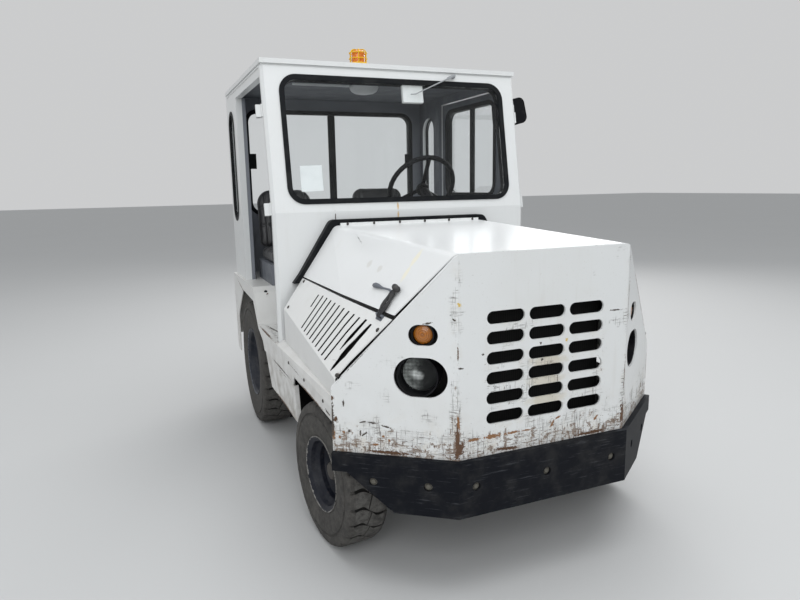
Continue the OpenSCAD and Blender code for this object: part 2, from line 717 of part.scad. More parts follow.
// Rubber round a window: a lip on each face of a wall of this thickness and a band inside the opening
lip_t = 6;
module rubber(w, h, r, wall) {
    for (z = [0, -wall - lip_t]) translate([0, 0, z])
        linear_extrude(lip_t) ring(w + rubber_w, h + rubber_w, r + rubber_w / 2, rubber_w);
    translate([0, 0, -wall - 1]) linear_extrude(wall + 2)
        ring(w - fit_gap, h - fit_gap, r, (rubber_w - fit_gap) / 2);
}
module slit_rubber() {
    linear_extrude(4) difference() {
        slot(slit_h + 24, slit_w + 24);
        slot(slit_h - 24, slit_w - 24);
    }
    translate([0, 0, -14]) linear_extrude(14) difference() {
        slot(slit_h - fit_gap, slit_w - fit_gap);
        slot(slit_h - 24, slit_w - 24);
    }
}
module at_slit(side) {
    on_side(side) translate([cab_half, slit_y, slit_z]) rotate([0, 90, 0]) children();
}
module at_rear_window() {
    translate([0, cab_rear_y, rear_win_z + rear_win_h / 2]) rotate([-90, 0, 0]) children();
}
module window_seals() {
    color(black) {
        on_screen() translate([0, screen_mid, 0]) rubber(screen_w, screen_h, window_r, wall_t);
        at_rear_window() {
            rubber(rear_win_w, rear_win_h, window_r, wall_t);
            translate([-15, -rear_win_h / 2 + 10, -16]) cube([30, rear_win_h - 20, 14]);
            for (s = [-1, 1]) translate([s * (rear_win_w / 2 - 26) - 27, -64, -wall_t - lip_t - 14])
                cube([54, 105, 14]);
        }
        for (side = [-1, 1]) at_slit(side) slit_rubber();
    }
}
module pane(w, h, r) {
    linear_extrude(pane_t) rounded(w - rubber_w - 2 * fit_gap, h - rubber_w - 2 * fit_gap, r - rubber_w / 2);
}
module cab_glass() {
    color([0.6, 0.7, 0.7, 0.4]) {
        on_screen() translate([0, screen_mid, -12]) pane(screen_w, screen_h, window_r);
        at_rear_window() difference() {
            translate([0, 0, -12]) pane(rear_win_w, rear_win_h, window_r);
            cube([31, big, 60], center = true);
        }
        for (side = [-1, 1]) at_slit(side) translate([0, 0, -12])
            linear_extrude(pane_t) slot(slit_h - 25, slit_w - 25);
    }
}
module hood_seal() {
    p = [for (q = [bay_rear()[2], bay_rear()[1], bay_rear()[0]]) q];
    color(black) difference() {
        cross_sheet(hood_len + 6, cab_y - hood_len - 6 - fit_gap) difference() {
            polygon(round_crest(inset(both_halves(p), -seal_out), crest_r));
            polygon(round_crest(inset(both_halves(p), 14), crest_r - 14));
            translate([-big / 2, foot_rear_z - big]) square([big, big - 30]);
        }
        for (x = hinge_places) at_hood_hinge(x) translate([-20 - fit_gap, 0, -2 - fit_gap])
            cube([40 + 2 * fit_gap, big, 4 + 2 * fit_gap]);
    }
}

// Left door: its front edge follows the windscreen panel's lean
function pillar_y(z) = post_front_y + max(0, z - seam_z) * tan(lean) + wall_t * (1 / cos(lean) - 1);
doorway = [[pillar_y(0), floor_z], [riser_y - 95, floor_z], [riser_y + 5, deck_z - 30],
    [riser_y + 50, deck_z], [post_y, deck_z], [post_y, door_top_z], [pillar_y(door_top_z), door_top_z],
    [pillar_y(seam_z), seam_z]];
door_line = inset(doorway, door_gap);
door_win_h = 580;
door_win_w = 670;
door_win_mid = [cab_y + 612, rear_win_z + 402];
door_in_x = cab_half - door_t;
module at_door_window() {
    translate([cab_half, door_win_mid[0], door_win_mid[1]]) rotate([90, 0, 90]) children();
}
module door_left() {
    color(white) difference() {
        side_sheet(door_in_x, door_t) polygon(door_line);
        at_door_window() translate([0, 0, -100]) linear_extrude(200)
            rounded(door_win_w, door_win_h, window_r);
    }
    color(black) {
        translate([cab_half, post_y - 90, 1330]) cube([22, 30, 24]);
        translate([cab_half, post_y - 210, 1330]) cube([22, 30, 24]);
        translate([cab_half + 18, post_y - 210, 1330]) cube([14, 150, 24]);
    }
    for (z = hinge_heights) at_hinge(z) color(white) {
        difference() {
            union() {
                translate([0, 0, 36]) cylinder(r = 14, h = 44);
                translate([-hinge_out, 10, 38]) cube([hinge_out - 4, 30, 40]);
            }
            translate([0, 0, 20]) cylinder(r = 8 + run_gap, h = 80);
        }
    }
}
// Hinges stand on the front posts, in line with the posts' lean
hinge_out = 18;
hinge_heights = [1434, 1938];
function hinge_y(z) = cab_y + 62 + (z - seam_z) * tan(lean);
module at_hinge(z) { translate([cab_half + hinge_out, hinge_y(z), z]) rotate([-lean, 0, 0]) children(); }
module door_hinges() {
    color(white) {
        both_sides() for (z = hinge_heights) at_hinge(z) {
            translate([-hinge_out + fit_gap, -16, -32]) cube([hinge_out + 13 - fit_gap, 16, 64]);
            translate([-hinge_out + fit_gap, -32, -32]) cube([6, 32, 64]);
            translate([0, 0, -32]) cylinder(r = 13, h = 64);
        }
        for (z = hinge_heights) at_hinge(z) translate([0, 0, 28]) cylinder(r = 8, h = 50);
    }
}
module door_seal() {
    color(black) at_door_window() {
        rubber(door_win_w, door_win_h, window_r, door_t);
        translate([-12, -door_win_h / 2 + 10, -16]) cube([24, door_win_h - 20, 14]);
    }
}
module door_glass() {
    color([0.6, 0.7, 0.7, 0.4]) at_door_window() difference() {
        translate([0, 0, -12]) pane(door_win_w, door_win_h, window_r);
        cube([25, big, 60], center = true);
    }
}
mirror_z = 2010;
mirror_foot_w = 34;
mirror_y = pillar_y(mirror_z) + 74;
module mirror_head() {
    color(black) {
        translate([cab_half + fit_gap, mirror_y, mirror_z - 25]) cube([8, mirror_foot_w, 50]);
        tube([cab_half + 6, mirror_y + mirror_foot_w / 2, mirror_z],
            [cab_half + 42, mirror_y + mirror_foot_w / 2, mirror_z], 8);
        tube([cab_half + 42, mirror_y + mirror_foot_w / 2 - 4, mirror_z],
            [cab_half + 80, cab_y + 305, mirror_z - 10], 8);
        translate([cab_half + 40, cab_y + 297, mirror_z - 119]) rotate([0, -14, 0]) rotate([90, 0, 0])
            translate([95, 80, -36]) linear_extrude(36) rounded(190, 160, 40);
    }
}

module steering_column() {
    color(black) difference() {
        translate([wheel_x, wheel_hub_y, wheel_hub_z]) rotate([90 + column_slope, 0, 0]) {
            translate([0, 0, 30]) cylinder(r = 32, h = 200);
            translate([0, 0, 6 + fit_gap]) cylinder(r = 20, h = 30);
        }
        side_sheet(-cab_half, cab_w) polygon(inset(dash, -fit_gap));
    }
}
module steering_wheel() {
    rim_r = 12;
    color(black) translate([wheel_x, wheel_hub_y, wheel_hub_z]) rotate([90 + column_slope, 0, 0]) {
        translate([0, 0, -20]) rotate_extrude() translate([wheel_rim_d / 2 - rim_r, 0]) circle(rim_r);
        translate([0, 0, -14]) cylinder(r = 40, h = 20);
        for (a = [90, 210, 330]) rotate([0, 0, a]) translate([30, -12, -15])
            cube([wheel_rim_d / 2 - rim_r - 34, 24, 7]);
    }
}
module pedals() {
    color(black) difference() {
        for (x = [wheel_x - 135, wheel_x - 35, wheel_x + 65]) {
            translate([x, post_front_y + 90, floor_z + 90]) rotate([35, 0, 0]) cube([70, 90, 10]);
            tube([x + 35, post_front_y - 10, floor_z + 197], [x + 35, post_front_y + 120, floor_z + 110], 8);
        }
        translate([-big / 2, 0, 0]) cube([big, post_front_y + fit_gap, big]);
    }
}
module seat(x) {
    low = deck_z + seat_box_h;
    translate([x, 0, 0]) {
        translate([0, riser_y + 40 + cushion_l / 2, low + fit_gap])
            linear_extrude(cushion_t) rounded(seat_w, cushion_l, 60);
        translate([0, riser_y + cushion_l - 30, low + cushion_t - 10]) rotate([78, 0, 0])
            translate([0, back_h / 2, -cushion_t - 5]) linear_extrude(cushion_t) rounded(seat_w, back_h, 70);
    }
}
module seat_cushions() { color(black) for (x = [driver_x, -passenger_x]) seat(x); }

// Frame
module chassis_frame() {
    color(dark_metal) {
        both_sides() translate([rail_in_x, nose_t + 50, rail_low_z])
            cube([rail_w, rear_y - nose_t - 50, rail_tall]);
        for (y = [nose_t + 50, cab_y + 10, cab_y + 395, rear_y - 190])
            translate([-rail_in_x, y, rail_top_z - 40]) cube([2 * rail_in_x, 70, 40]);
        for (y = [cab_y + 55, riser_y - 55]) both_sides() translate([rail_in_x + rail_w, y, rail_low_z + 20])
            cube([well_x - rail_in_x - rail_w, 50, floor_z - plate_t - rail_low_z - 20]);
        both_sides() translate([rail_in_x, nose_t + 50, 400]) cube([20, 60, rail_low_z - 400]);
        translate([-rail_in_x, nose_t + fit_gap, 380]) cube([2 * rail_in_x, 60, 60]);
        translate([-700, rear_y, skirt_low_z - 45]) cube([1400, rear_plate_t, deck_z - skirt_low_z + 45]);
    }
}
module tow_hitch() {
    y0 = rear_y + rear_plate_t;
    color(dark_metal) difference() {
        union() {
            for (s = [-1, 1]) translate([0, y0, pin_z + s * (jaw_gap + jaw_t) / 2 - jaw_t / 2]) {
                translate([-65, 0, 0]) cube([130, pin_y - y0, jaw_t]);
                translate([0, pin_y - y0, 0]) cylinder(r = 65, h = jaw_t);
            }
            translate([-85, y0, pin_z - jaw_gap / 2 - 60]) cube([170, 18, jaw_gap + 120]);
        }
        translate([0, pin_y, 0]) cylinder(r = pin_r, h = big);
    }
}
module tow_pin() {
    y0 = rear_y + rear_plate_t;
    color(dark_metal) translate([190, y0 + 32, pin_z - 30]) {
        difference() {
            union() {
                cylinder(r = 24, h = 90);
                translate([-12, -32, 0]) cube([24, 20, 90]);
            }
            translate([0, 0, -1]) cylinder(r = pin_r - 1 + fit_gap, h = 100);
        }
        translate([0, 0, -20]) cylinder(r = pin_r - 1, h = 130);
        translate([0, 0, 110]) cylinder(r = 22, h = 12);
        translate([0, 0, 145]) rotate([90, 0, 0]) rotate_extrude() translate([26, 0]) circle(6);
    }
}
engine_y = nose_t + radiator_t + 182;
module engine_block() {
    color(dark_metal) {
        translate([-engine_w / 2, engine_y, rail_low_z + 40]) cube([engine_w, engine_l, engine_h]);
        translate([-gearbox_w / 2, engine_y + engine_l, rail_low_z - 40])
            cube([gearbox_w, gearbox_l, floor_z - 44 - (rail_low_z - 40)]);
        for (y = [70, engine_l - 100])
            translate([-rail_in_x - rail_w + 10, engine_y + y, rail_top_z + fit_gap])
            cube([2 * (rail_in_x + rail_w - 10), 80, 24]);
    }
}
module radiator() {
    color(black) {
        translate([-radiator_w / 2, nose_t + 54, rail_top_z + fit_gap])
            cube([radiator_w, radiator_t, radiator_h]);
        translate([-radiator_w / 2 + 60, nose_t + 54 + radiator_t, rail_top_z + 30])
            cube([radiator_w - 120, 60, radiator_h - 90]);
    }
}

// Running gear
spring_front_z = 460;
spring_front_l = 620;
spring_rear_z = 500;
spring_rear_l = 760;
module leaf_spring(x, y, z, axle_top, length) {
    translate([x - 30, y - length / 2, z]) cube([60, length, 10]);
    translate([x - 30, y - length / 3, z - 10]) cube([60, length / 1.5, 10]);
    translate([x - 30, y - length / 5, z - 20]) cube([60, length / 2.5, 10]);
    translate([x - 35, y - 45, axle_top]) cube([70, 90, z - 20 - axle_top]);
    for (s = [-1, 1]) translate([x - 20, y + s * (length / 2 - 15) - 12, z + 10])
        cube([40, 24, rail_low_z - z - 10]);
}
boss_h = 104;
module front_axle() {
    color(dark_metal) {
        difference() {
            union() {
                translate([-kingpin_x, front_axle_y - 35, front_r - 40]) cube([2 * kingpin_x, 70, 80]);
                both_sides() translate([kingpin_x, front_axle_y, front_r - boss_h / 2])
                    cylinder(r = 36, h = boss_h);
            }
            both_sides() translate([kingpin_x, front_axle_y, 0]) cylinder(r = kingpin_r + run_gap, h = big);
        }
        both_sides() leaf_spring(rail_in_x + rail_w / 2, front_axle_y, spring_front_z, front_r + 40,
            spring_front_l);
    }
}
module at_kingpin(side) {
    translate([side * kingpin_x, front_axle_y, front_r]) rotate([0, 0, steer_rest]) on_side(side) children();
}
front_mid = front_face_x - kingpin_x - front_tyre_w / 2;
spindle_r = 26;
arm_low = boss_h / 2 + 4;
module knuckle(side) {
    color(dark_metal) at_kingpin(side) {
        for (s = [-1, 1]) translate([0, 0, s * (boss_h / 2 + 12) - 10]) {
            cylinder(r = 34, h = 20);
            translate([0, -30, 0]) cube([62, 60, 20]);
        }
        translate([44, -30, -boss_h / 2 - 22]) cube([22, 60, boss_h + 44]);
        cylinder(r = kingpin_r, h = boss_h + 30, center = true);
        rotate([0, 90, 0]) translate([0, 0, 60]) cylinder(r = spindle_r, h = front_mid - 20);
        translate([0, 0, -boss_h / 2 - 22]) {
            translate([-18, 0, 0]) cube([36, arm_len, 20]);
            translate([0, arm_len, 0]) cylinder(r = 22, h = 20);
            translate([0, arm_len, -26]) cylinder(r = 9, h = 30);
        }
    }
}
function pin_place(side) = [side * kingpin_x - arm_len * sin(steer_rest),
    front_axle_y + arm_len * cos(steer_rest)];
module tie_rod() {
    z = front_r - boss_h / 2 - 22 - 16;
    color(dark_metal) difference() {
        union() {
            for (side = [-1, 1])
                translate([pin_place(side)[0], pin_place(side)[1], z - 9]) cylinder(r = 20, h = 18);
            translate([pin_place(-1)[0], pin_place(-1)[1] - 12, z - 9]) cube([2 * kingpin_x, 24, 18]);
        }
        for (side = [-1, 1]) translate([pin_place(side)[0], pin_place(side)[1], 0])
            cylinder(r = side < 0 ? 9 + run_gap : 11, h = big);
    }
}
module rear_axle() {
    color(dark_metal) {
        difference() {
            union() {
                translate([0, rear_axle_y, rear_r]) rotate([0, 90, 0]) {
                    cylinder(r = 52, h = 2 * (rear_face_x - 250), center = true);
                    cylinder(r = 34, h = 2 * (rear_face_x - 123), center = true);
                }
                translate([0, rear_axle_y, rear_r]) sphere(r = diff_r);
            }
        }
        translate([0, rear_axle_y - diff_r + 15, rear_r]) rotate([90, 0, 0]) cylinder(r = 60, h = 100);
        difference() {
            tube([0, rear_axle_y - diff_r - 70, rear_r],
                [0, engine_y + engine_l + gearbox_l - 10, rail_low_z + 20], shaft_r);
            translate([-big / 2, engine_y, 0]) cube([big, engine_l + gearbox_l + fit_gap, big]);
        }
        both_sides() leaf_spring(rail_in_x + rail_w / 2, rear_axle_y, spring_rear_z, rear_r + 48,
            spring_rear_l);
    }
}
// Wheels: profiles in radius and width, turned about the axle
module tyre(d, w, rim_d) {
    r = d / 2;
    b = rim_d / 2;
    half = [[b, w * 0.36], [b, w * 0.38], [b + 14, w * 0.44], [b + 40, w * 0.485], [(r + b) / 2, w / 2],
        [r - 42, w * 0.495], [r - 20, w * 0.475], [r - 6, w * 0.43], [r, w * 0.37]];
    other = [for (q = half) [q[0], -q[1]]];
    rotate([0, 90, 0]) rotate_extrude($fn = 72) polygon(concat(half, reversed(other),
        [[b + 26, -w * 0.34], [b + 26, w * 0.34]]));
}
module rim(w, rim_d, dish, hub_r, bore_r, hub_back) {
    b = rim_d / 2;
    t = 9;
    rotate([0, 90, 0]) rotate_extrude($fn = 60) polygon([[b + 14, w * 0.44 + 1], [b - 1, w * 0.38],
        [b - 1, w * 0.3], [b - 14, w * 0.2], [b - 14, -w * 0.2], [b - 1, -w * 0.3], [b - 1, -w * 0.38],
        [b + 14, -w * 0.44 - 1], [b + 14, -w * 0.44 - 6], [b - t, -w * 0.40], [b - t - 6, -w * 0.3],
        [b - t - 20, -w * 0.2], [b - t - 20, dish - t], [hub_r + 40, dish - t], [hub_r + 18, hub_back],
        [bore_r, hub_back], [bore_r, dish + 26], [hub_r, dish + 26], [hub_r + 8, dish],
        [hub_r + 60, dish], [b - t - 20, dish + 24], [b - t - 20, w * 0.2], [b - t - 6, w * 0.3],
        [b - t, w * 0.40], [b + 14, w * 0.44 + 6]]);
}
front_wheel_x = kingpin_x + front_mid;
module tyre_front(side) {
    color(black) at_kingpin(side) translate([front_mid, 0, 0]) tyre(front_tyre_d, front_tyre_w, front_rim_d);
}
module rim_front(side) {
    color(dark_metal) at_kingpin(side) translate([front_mid, 0, 0])
        rim(front_tyre_w, front_rim_d, -8, 46, spindle_r + run_gap, -front_mid + 71);
}
rear_mid = rear_face_x - rear_tyre_w / 2;
module tyre_rear(side) {
    color(black) on_side(side) translate([rear_mid, rear_axle_y, rear_r])
        tyre(rear_tyre_d, rear_tyre_w, rear_rim_d);
}
module rim_rear(side) {
    color(dark_metal) on_side(side) translate([rear_mid, rear_axle_y, rear_r])
        rim(rear_tyre_w, rear_rim_d, -40, 60, 34 + run_gap, -100);
}

tail_lamp_x = 560;
tail_lamp_z = 800;
module tail_lamps() {
    color([0.7, 0.08, 0.06]) both_sides() translate([tail_lamp_x, rear_y + rear_plate_t, tail_lamp_z])
        cube([120, 40, 80]);
}
beacon_y = screen_top_y + 75;
module beacon_lens() {
    color([0.95, 0.5, 0.08]) translate([-beacon_x, beacon_y, roof_z + 14]) {
        cylinder(d = beacon_d, h = beacon_h - 12);
        translate([0, 0, beacon_h - 12]) cylinder(d1 = beacon_d, d2 = beacon_d - 24, h = 12);
    }
}
module beacon_guard() {
    color([0.9, 0.65, 0.05]) translate([-beacon_x, beacon_y, roof_z]) {
        cylinder(d = beacon_d + 36, h = 14);
        for (z = [40, 84]) translate([0, 0, z]) rotate_extrude($fn = 32)
            translate([beacon_d / 2 + 14, 0]) circle(3, $fn = 10);
        for (a = [0 : 60 : 300]) rotate([0, 0, a]) translate([beacon_d / 2 + 14, 0, 0])
            cylinder(r = 3, h = 86, $fn = 12);
    }
}
module wiper() {
    color(dark_metal) on_screen() {
        translate([350, screen_up + screen_h + 33, 0]) cylinder(r = 12, h = 26);
        tube([350, screen_up + screen_h + 33, 20], [85, screen_up + screen_h - 99, 14], 5);
    }
    color(white) on_screen() translate([35, screen_up + screen_h - 131, -12 - 26]) cube([125, 105, 26]);
}
// A rubber strap with a grip and an arm, hooked over the hood from a bracket on the side cover
latch_y = 239;
module hood_latches() {
    color(black) difference() {
        for (side = [-1, 1]) on_slope(side, latch_y, 1, 0) {
            translate([-86, -13, -10]) cube([20, 26, 22]);
            translate([-112, -15, 9]) cube([134, 30, 9]);
            translate([4, -31, -10]) cube([26, 62, 21]);
            translate([-120, -28, 8]) cube([20, 56, 20]);
            hull() {
                translate([-112, 20, 9]) cube([12, 10, 12]);
                translate([-96, 60, 6]) cube([12, 10, 10]);
            }
            hull() {
                translate([-96, 60, 6]) cube([12, 10, 10]);
                translate([-101, 215, 3]) cube([28, 22, 6]);
            }
        }
        bay_loft(-fit_gap, 0, 3);
    }
}

at_pin() chassis_frame();
at_pin() tow_hitch();
at_pin() tow_pin();
at_pin() front_axle();
at_pin() rear_axle();
at_pin() engine_block();
at_pin() radiator();
at_pin() nose_plate();
at_pin() bumper();
at_pin() lamp_bodies();
at_pin() headlamp_glass();
at_pin() indicator_lenses();
at_pin() tail_lamps();
at_pin() engine_cover(-1);  // engine_cover_right
at_pin() engine_cover(1);  // engine_cover_left
at_pin() side_rail(-1);  // side_rail_right
at_pin() side_rail(1);  // side_rail_left
at_pin() body_side(-1);  // body_side_right
at_pin() body_side(1);  // body_side_left
at_pin() cab_floor();
at_pin() cowl();
at_pin() windscreen_frame();
at_pin() roof();
at_pin() quarter_panel(-1);  // quarter_panel_right
at_pin() quarter_panel(1);  // quarter_panel_left
at_pin() rear_wall();
at_pin() window_seals();
at_pin() cab_glass();
at_pin() hood_seal();
at_pin() door_hinges();
at_pin() steering_column();
at_pin() steering_wheel();
at_pin() pedals();
at_pin() seat_cushions();
at_pin() beacon_lens();
at_pin() beacon_guard();
at_pin() wiper();
at_pin() hood();
at_pin() hood_hinges();
at_pin() hood_latches();
at_pin() door_left();
at_pin() door_seal();
at_pin() door_glass();
at_pin() mirror_head();  // mirror
at_pin() knuckle(-1);  // knuckle_right
at_pin() knuckle(1);  // knuckle_left
at_pin() tie_rod();
at_pin() tyre_front(-1);  // tyre_front_right
at_pin() rim_front(-1);  // rim_front_right
at_pin() tyre_front(1);  // tyre_front_left
at_pin() rim_front(1);  // rim_front_left
at_pin() tyre_rear(-1);  // tyre_rear_right
at_pin() rim_rear(-1);  // rim_rear_right
at_pin() tyre_rear(1);  // tyre_rear_left
at_pin() rim_rear(1);  // rim_rear_left
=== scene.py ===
"""The looks of the airport baggage tug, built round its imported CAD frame.

Places are written in vehicle millimetres, as in the part's source: X to the vehicle's left,
Y rearwards from the nose plate, Z up from the ground. place() turns them into the part's frame.
"""

import math

import bpy
from mathutils import Matrix, Vector


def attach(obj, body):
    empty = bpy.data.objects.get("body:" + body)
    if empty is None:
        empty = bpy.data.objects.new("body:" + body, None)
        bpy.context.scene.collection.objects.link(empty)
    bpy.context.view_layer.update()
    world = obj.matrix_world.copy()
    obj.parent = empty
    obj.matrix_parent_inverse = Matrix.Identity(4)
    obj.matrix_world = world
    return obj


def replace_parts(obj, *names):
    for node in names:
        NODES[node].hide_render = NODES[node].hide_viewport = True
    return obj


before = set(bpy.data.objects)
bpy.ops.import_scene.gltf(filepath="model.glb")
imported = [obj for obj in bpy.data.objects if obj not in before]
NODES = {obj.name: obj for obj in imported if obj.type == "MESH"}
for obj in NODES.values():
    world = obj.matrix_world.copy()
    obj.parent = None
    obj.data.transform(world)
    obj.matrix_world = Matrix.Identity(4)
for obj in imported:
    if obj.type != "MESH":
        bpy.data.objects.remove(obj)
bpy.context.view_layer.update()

PIN_Y, PIN_Z = 2925.0, 420.0
SIDES = ((-1, "right"), (1, "left"))
LEFT, REARWARD, UP = Vector((1, 0, 0)), Vector((0, 1, 0)), Vector((0, 0, 1))


def place(x, y, z):
    """A point in vehicle millimetres as one in the part's frame, in metres."""
    return Vector((x / 1000, (y - PIN_Y) / 1000, (z - PIN_Z) / 1000))


# Places of the running gear and the leaning faces, as in the part's source
STEER = math.radians(7)
FRONT_AXLE_Y, REAR_AXLE_Y = 600, 2220
FRONT_R, REAR_R = 316, 405
FRONT_W, REAR_W = 184, 215
FRONT_RIM, REAR_RIM = 302, 412
KINGPIN_X, FRONT_MID, REAR_MID = 540, 132, 657.5
FRONT_ALONG = Matrix.Rotation(STEER, 3, "Z") @ LEFT
NOSE_HALF, HOOD_LONG = 381, 1275
FACET_TURN = math.atan2(289, 394)
SLOPE_TURN, LATCH_TIP = math.atan2(244.3, 181.0), math.radians(3)
LATCH_X, LATCH_Y, LATCH_Z = 573.6, 239, 1070.6
COVER_OUT_X, COVER_OUT_Z = 0.795, 0.607
SCREEN_Y, SCREEN_Z, LEAN = 1325, 1417, math.radians(10)
GLASS_UP = Vector((0, math.sin(LEAN), math.cos(LEAN)))
GLASS_OUT = Vector((0, -math.cos(LEAN), math.sin(LEAN)))


def front_centre(side):
    return place(side * KINGPIN_X, FRONT_AXLE_Y, FRONT_R) + FRONT_ALONG * side * FRONT_MID / 1000


def rear_centre(side):
    return place(side * REAR_MID, REAR_AXLE_Y, REAR_R)


def on_facet(side, along, back, up):
    """A point on a side facet: along it from the fold, behind its outer face, and its height."""
    c, s = math.cos(FACET_TURN), math.sin(FACET_TURN)
    return place(side * (NOSE_HALF + along * c - back * s), along * s + back * c, up)


def on_screen(x, up, out):
    """A point by its place across, up the windscreen from its lower edge and out from the panel's face."""
    return place(x, SCREEN_Y, SCREEN_Z) + GLASS_UP * (up / 1000) + GLASS_OUT * (out / 1000)


def on_slope(side, x, y, z):
    """A point by its place down the hood's slope from its foot, rearwards and out, where the latch sits."""
    c, s = math.cos(LATCH_TIP), math.sin(LATCH_TIP)
    y, z = y * c - z * s, y * s + z * c
    c, s = math.cos(SLOPE_TURN), math.sin(SLOPE_TURN)
    return place(side * (LATCH_X + x * c + z * s), LATCH_Y + y, LATCH_Z - x * s + z * c)


def cover_point(side, y, part, inward):
    """A point of the engine cover's slope: its place rearwards, its share down from the hood, its depth."""
    share = y / HOOD_LONG
    foot = Vector((565 + 46 * share, 1068 + 14 * share))
    fold = Vector((769 - 37 * share, 801 + 125 * share))
    way = (fold - foot).normalized()
    spot = foot + (fold - foot) * part - Vector((-way.y, way.x)) * inward
    return place(side * spot.x, y, spot.y)


def on_surface(node, spot, way):
    """Where a ray that comes from outside along -way meets a CAD node, and its normal there."""
    way = Vector(way).normalized()
    hit, where, normal, _ = NODES[node].ray_cast(spot + way * 0.06, -way, distance=0.12)
    return (where, normal) if hit else (spot, way)


def polar(middle, u, v, radius, degrees):
    """A point on a circle round middle, in the plane of u and v."""
    a = math.radians(degrees)
    return middle + (u * math.cos(a) + v * math.sin(a)) * radius


# Camera, fitted to the photograph
CAM_PLACE = place(-1403.8, -1948.4, 1548.5)
CAM_YAW, CAM_PITCH, CAM_ROLL = 0.3904, 0.1797, -0.0184
CAM_FOCUS, FRAME_WIDTH, SENSOR = 632.05, 800.0, 36.0


def link_new(name, data):
    obj = bpy.data.objects.new(name, data)
    bpy.context.collection.objects.link(obj)
    return obj


def make_camera():
    ahead = Vector((math.sin(CAM_YAW) * math.cos(CAM_PITCH), math.cos(CAM_YAW) * math.cos(CAM_PITCH),
                    -math.sin(CAM_PITCH)))
    right = Vector((math.cos(CAM_YAW), -math.sin(CAM_YAW), 0))
    up = right.cross(ahead)
    side = right * math.cos(CAM_ROLL) + up * math.sin(CAM_ROLL)
    top = up * math.cos(CAM_ROLL) - right * math.sin(CAM_ROLL)
    data = bpy.data.cameras.new("camera")
    data.sensor_width = SENSOR
    data.lens = CAM_FOCUS / FRAME_WIDTH * SENSOR
    data.clip_end = 200
    cam = link_new("camera", data)
    cam.matrix_world = Matrix.Translation(CAM_PLACE) @ Matrix((side, top, -ahead)).transposed().to_4x4()
    bpy.context.scene.camera = cam


make_camera()


# Node helpers
def put(tree, kind, *values, **more):
    """Adds a node. Values fill its inputs in order. Words with a capital name an input, others a setting."""
    node = tree.nodes.new(kind)
    for key, value in more.items():
        if key[0].isupper():
            give(tree, node.inputs[key.replace("_", " ")], value)
        else:
            setattr(node, key, value)
    for socket, value in zip(node.inputs, values):
        give(tree, socket, value)
    return node


def give(tree, socket, value):
    """Links a socket or sets its value; None leaves it."""
    if isinstance(value, bpy.types.NodeSocket):
        tree.links.new(value, socket)
    elif value is not None:
        socket.default_value = value


def rgb(colour):
    if isinstance(colour, bpy.types.NodeSocket):
        return colour
    return (*colour[:3], 1.0)


RUST_DARK, RUST_LIGHT = (0.045, 0.024, 0.015), (0.155, 0.075, 0.035)
DUST = (0.30, 0.27, 0.23)
EDGE_WIDTH = 0.003


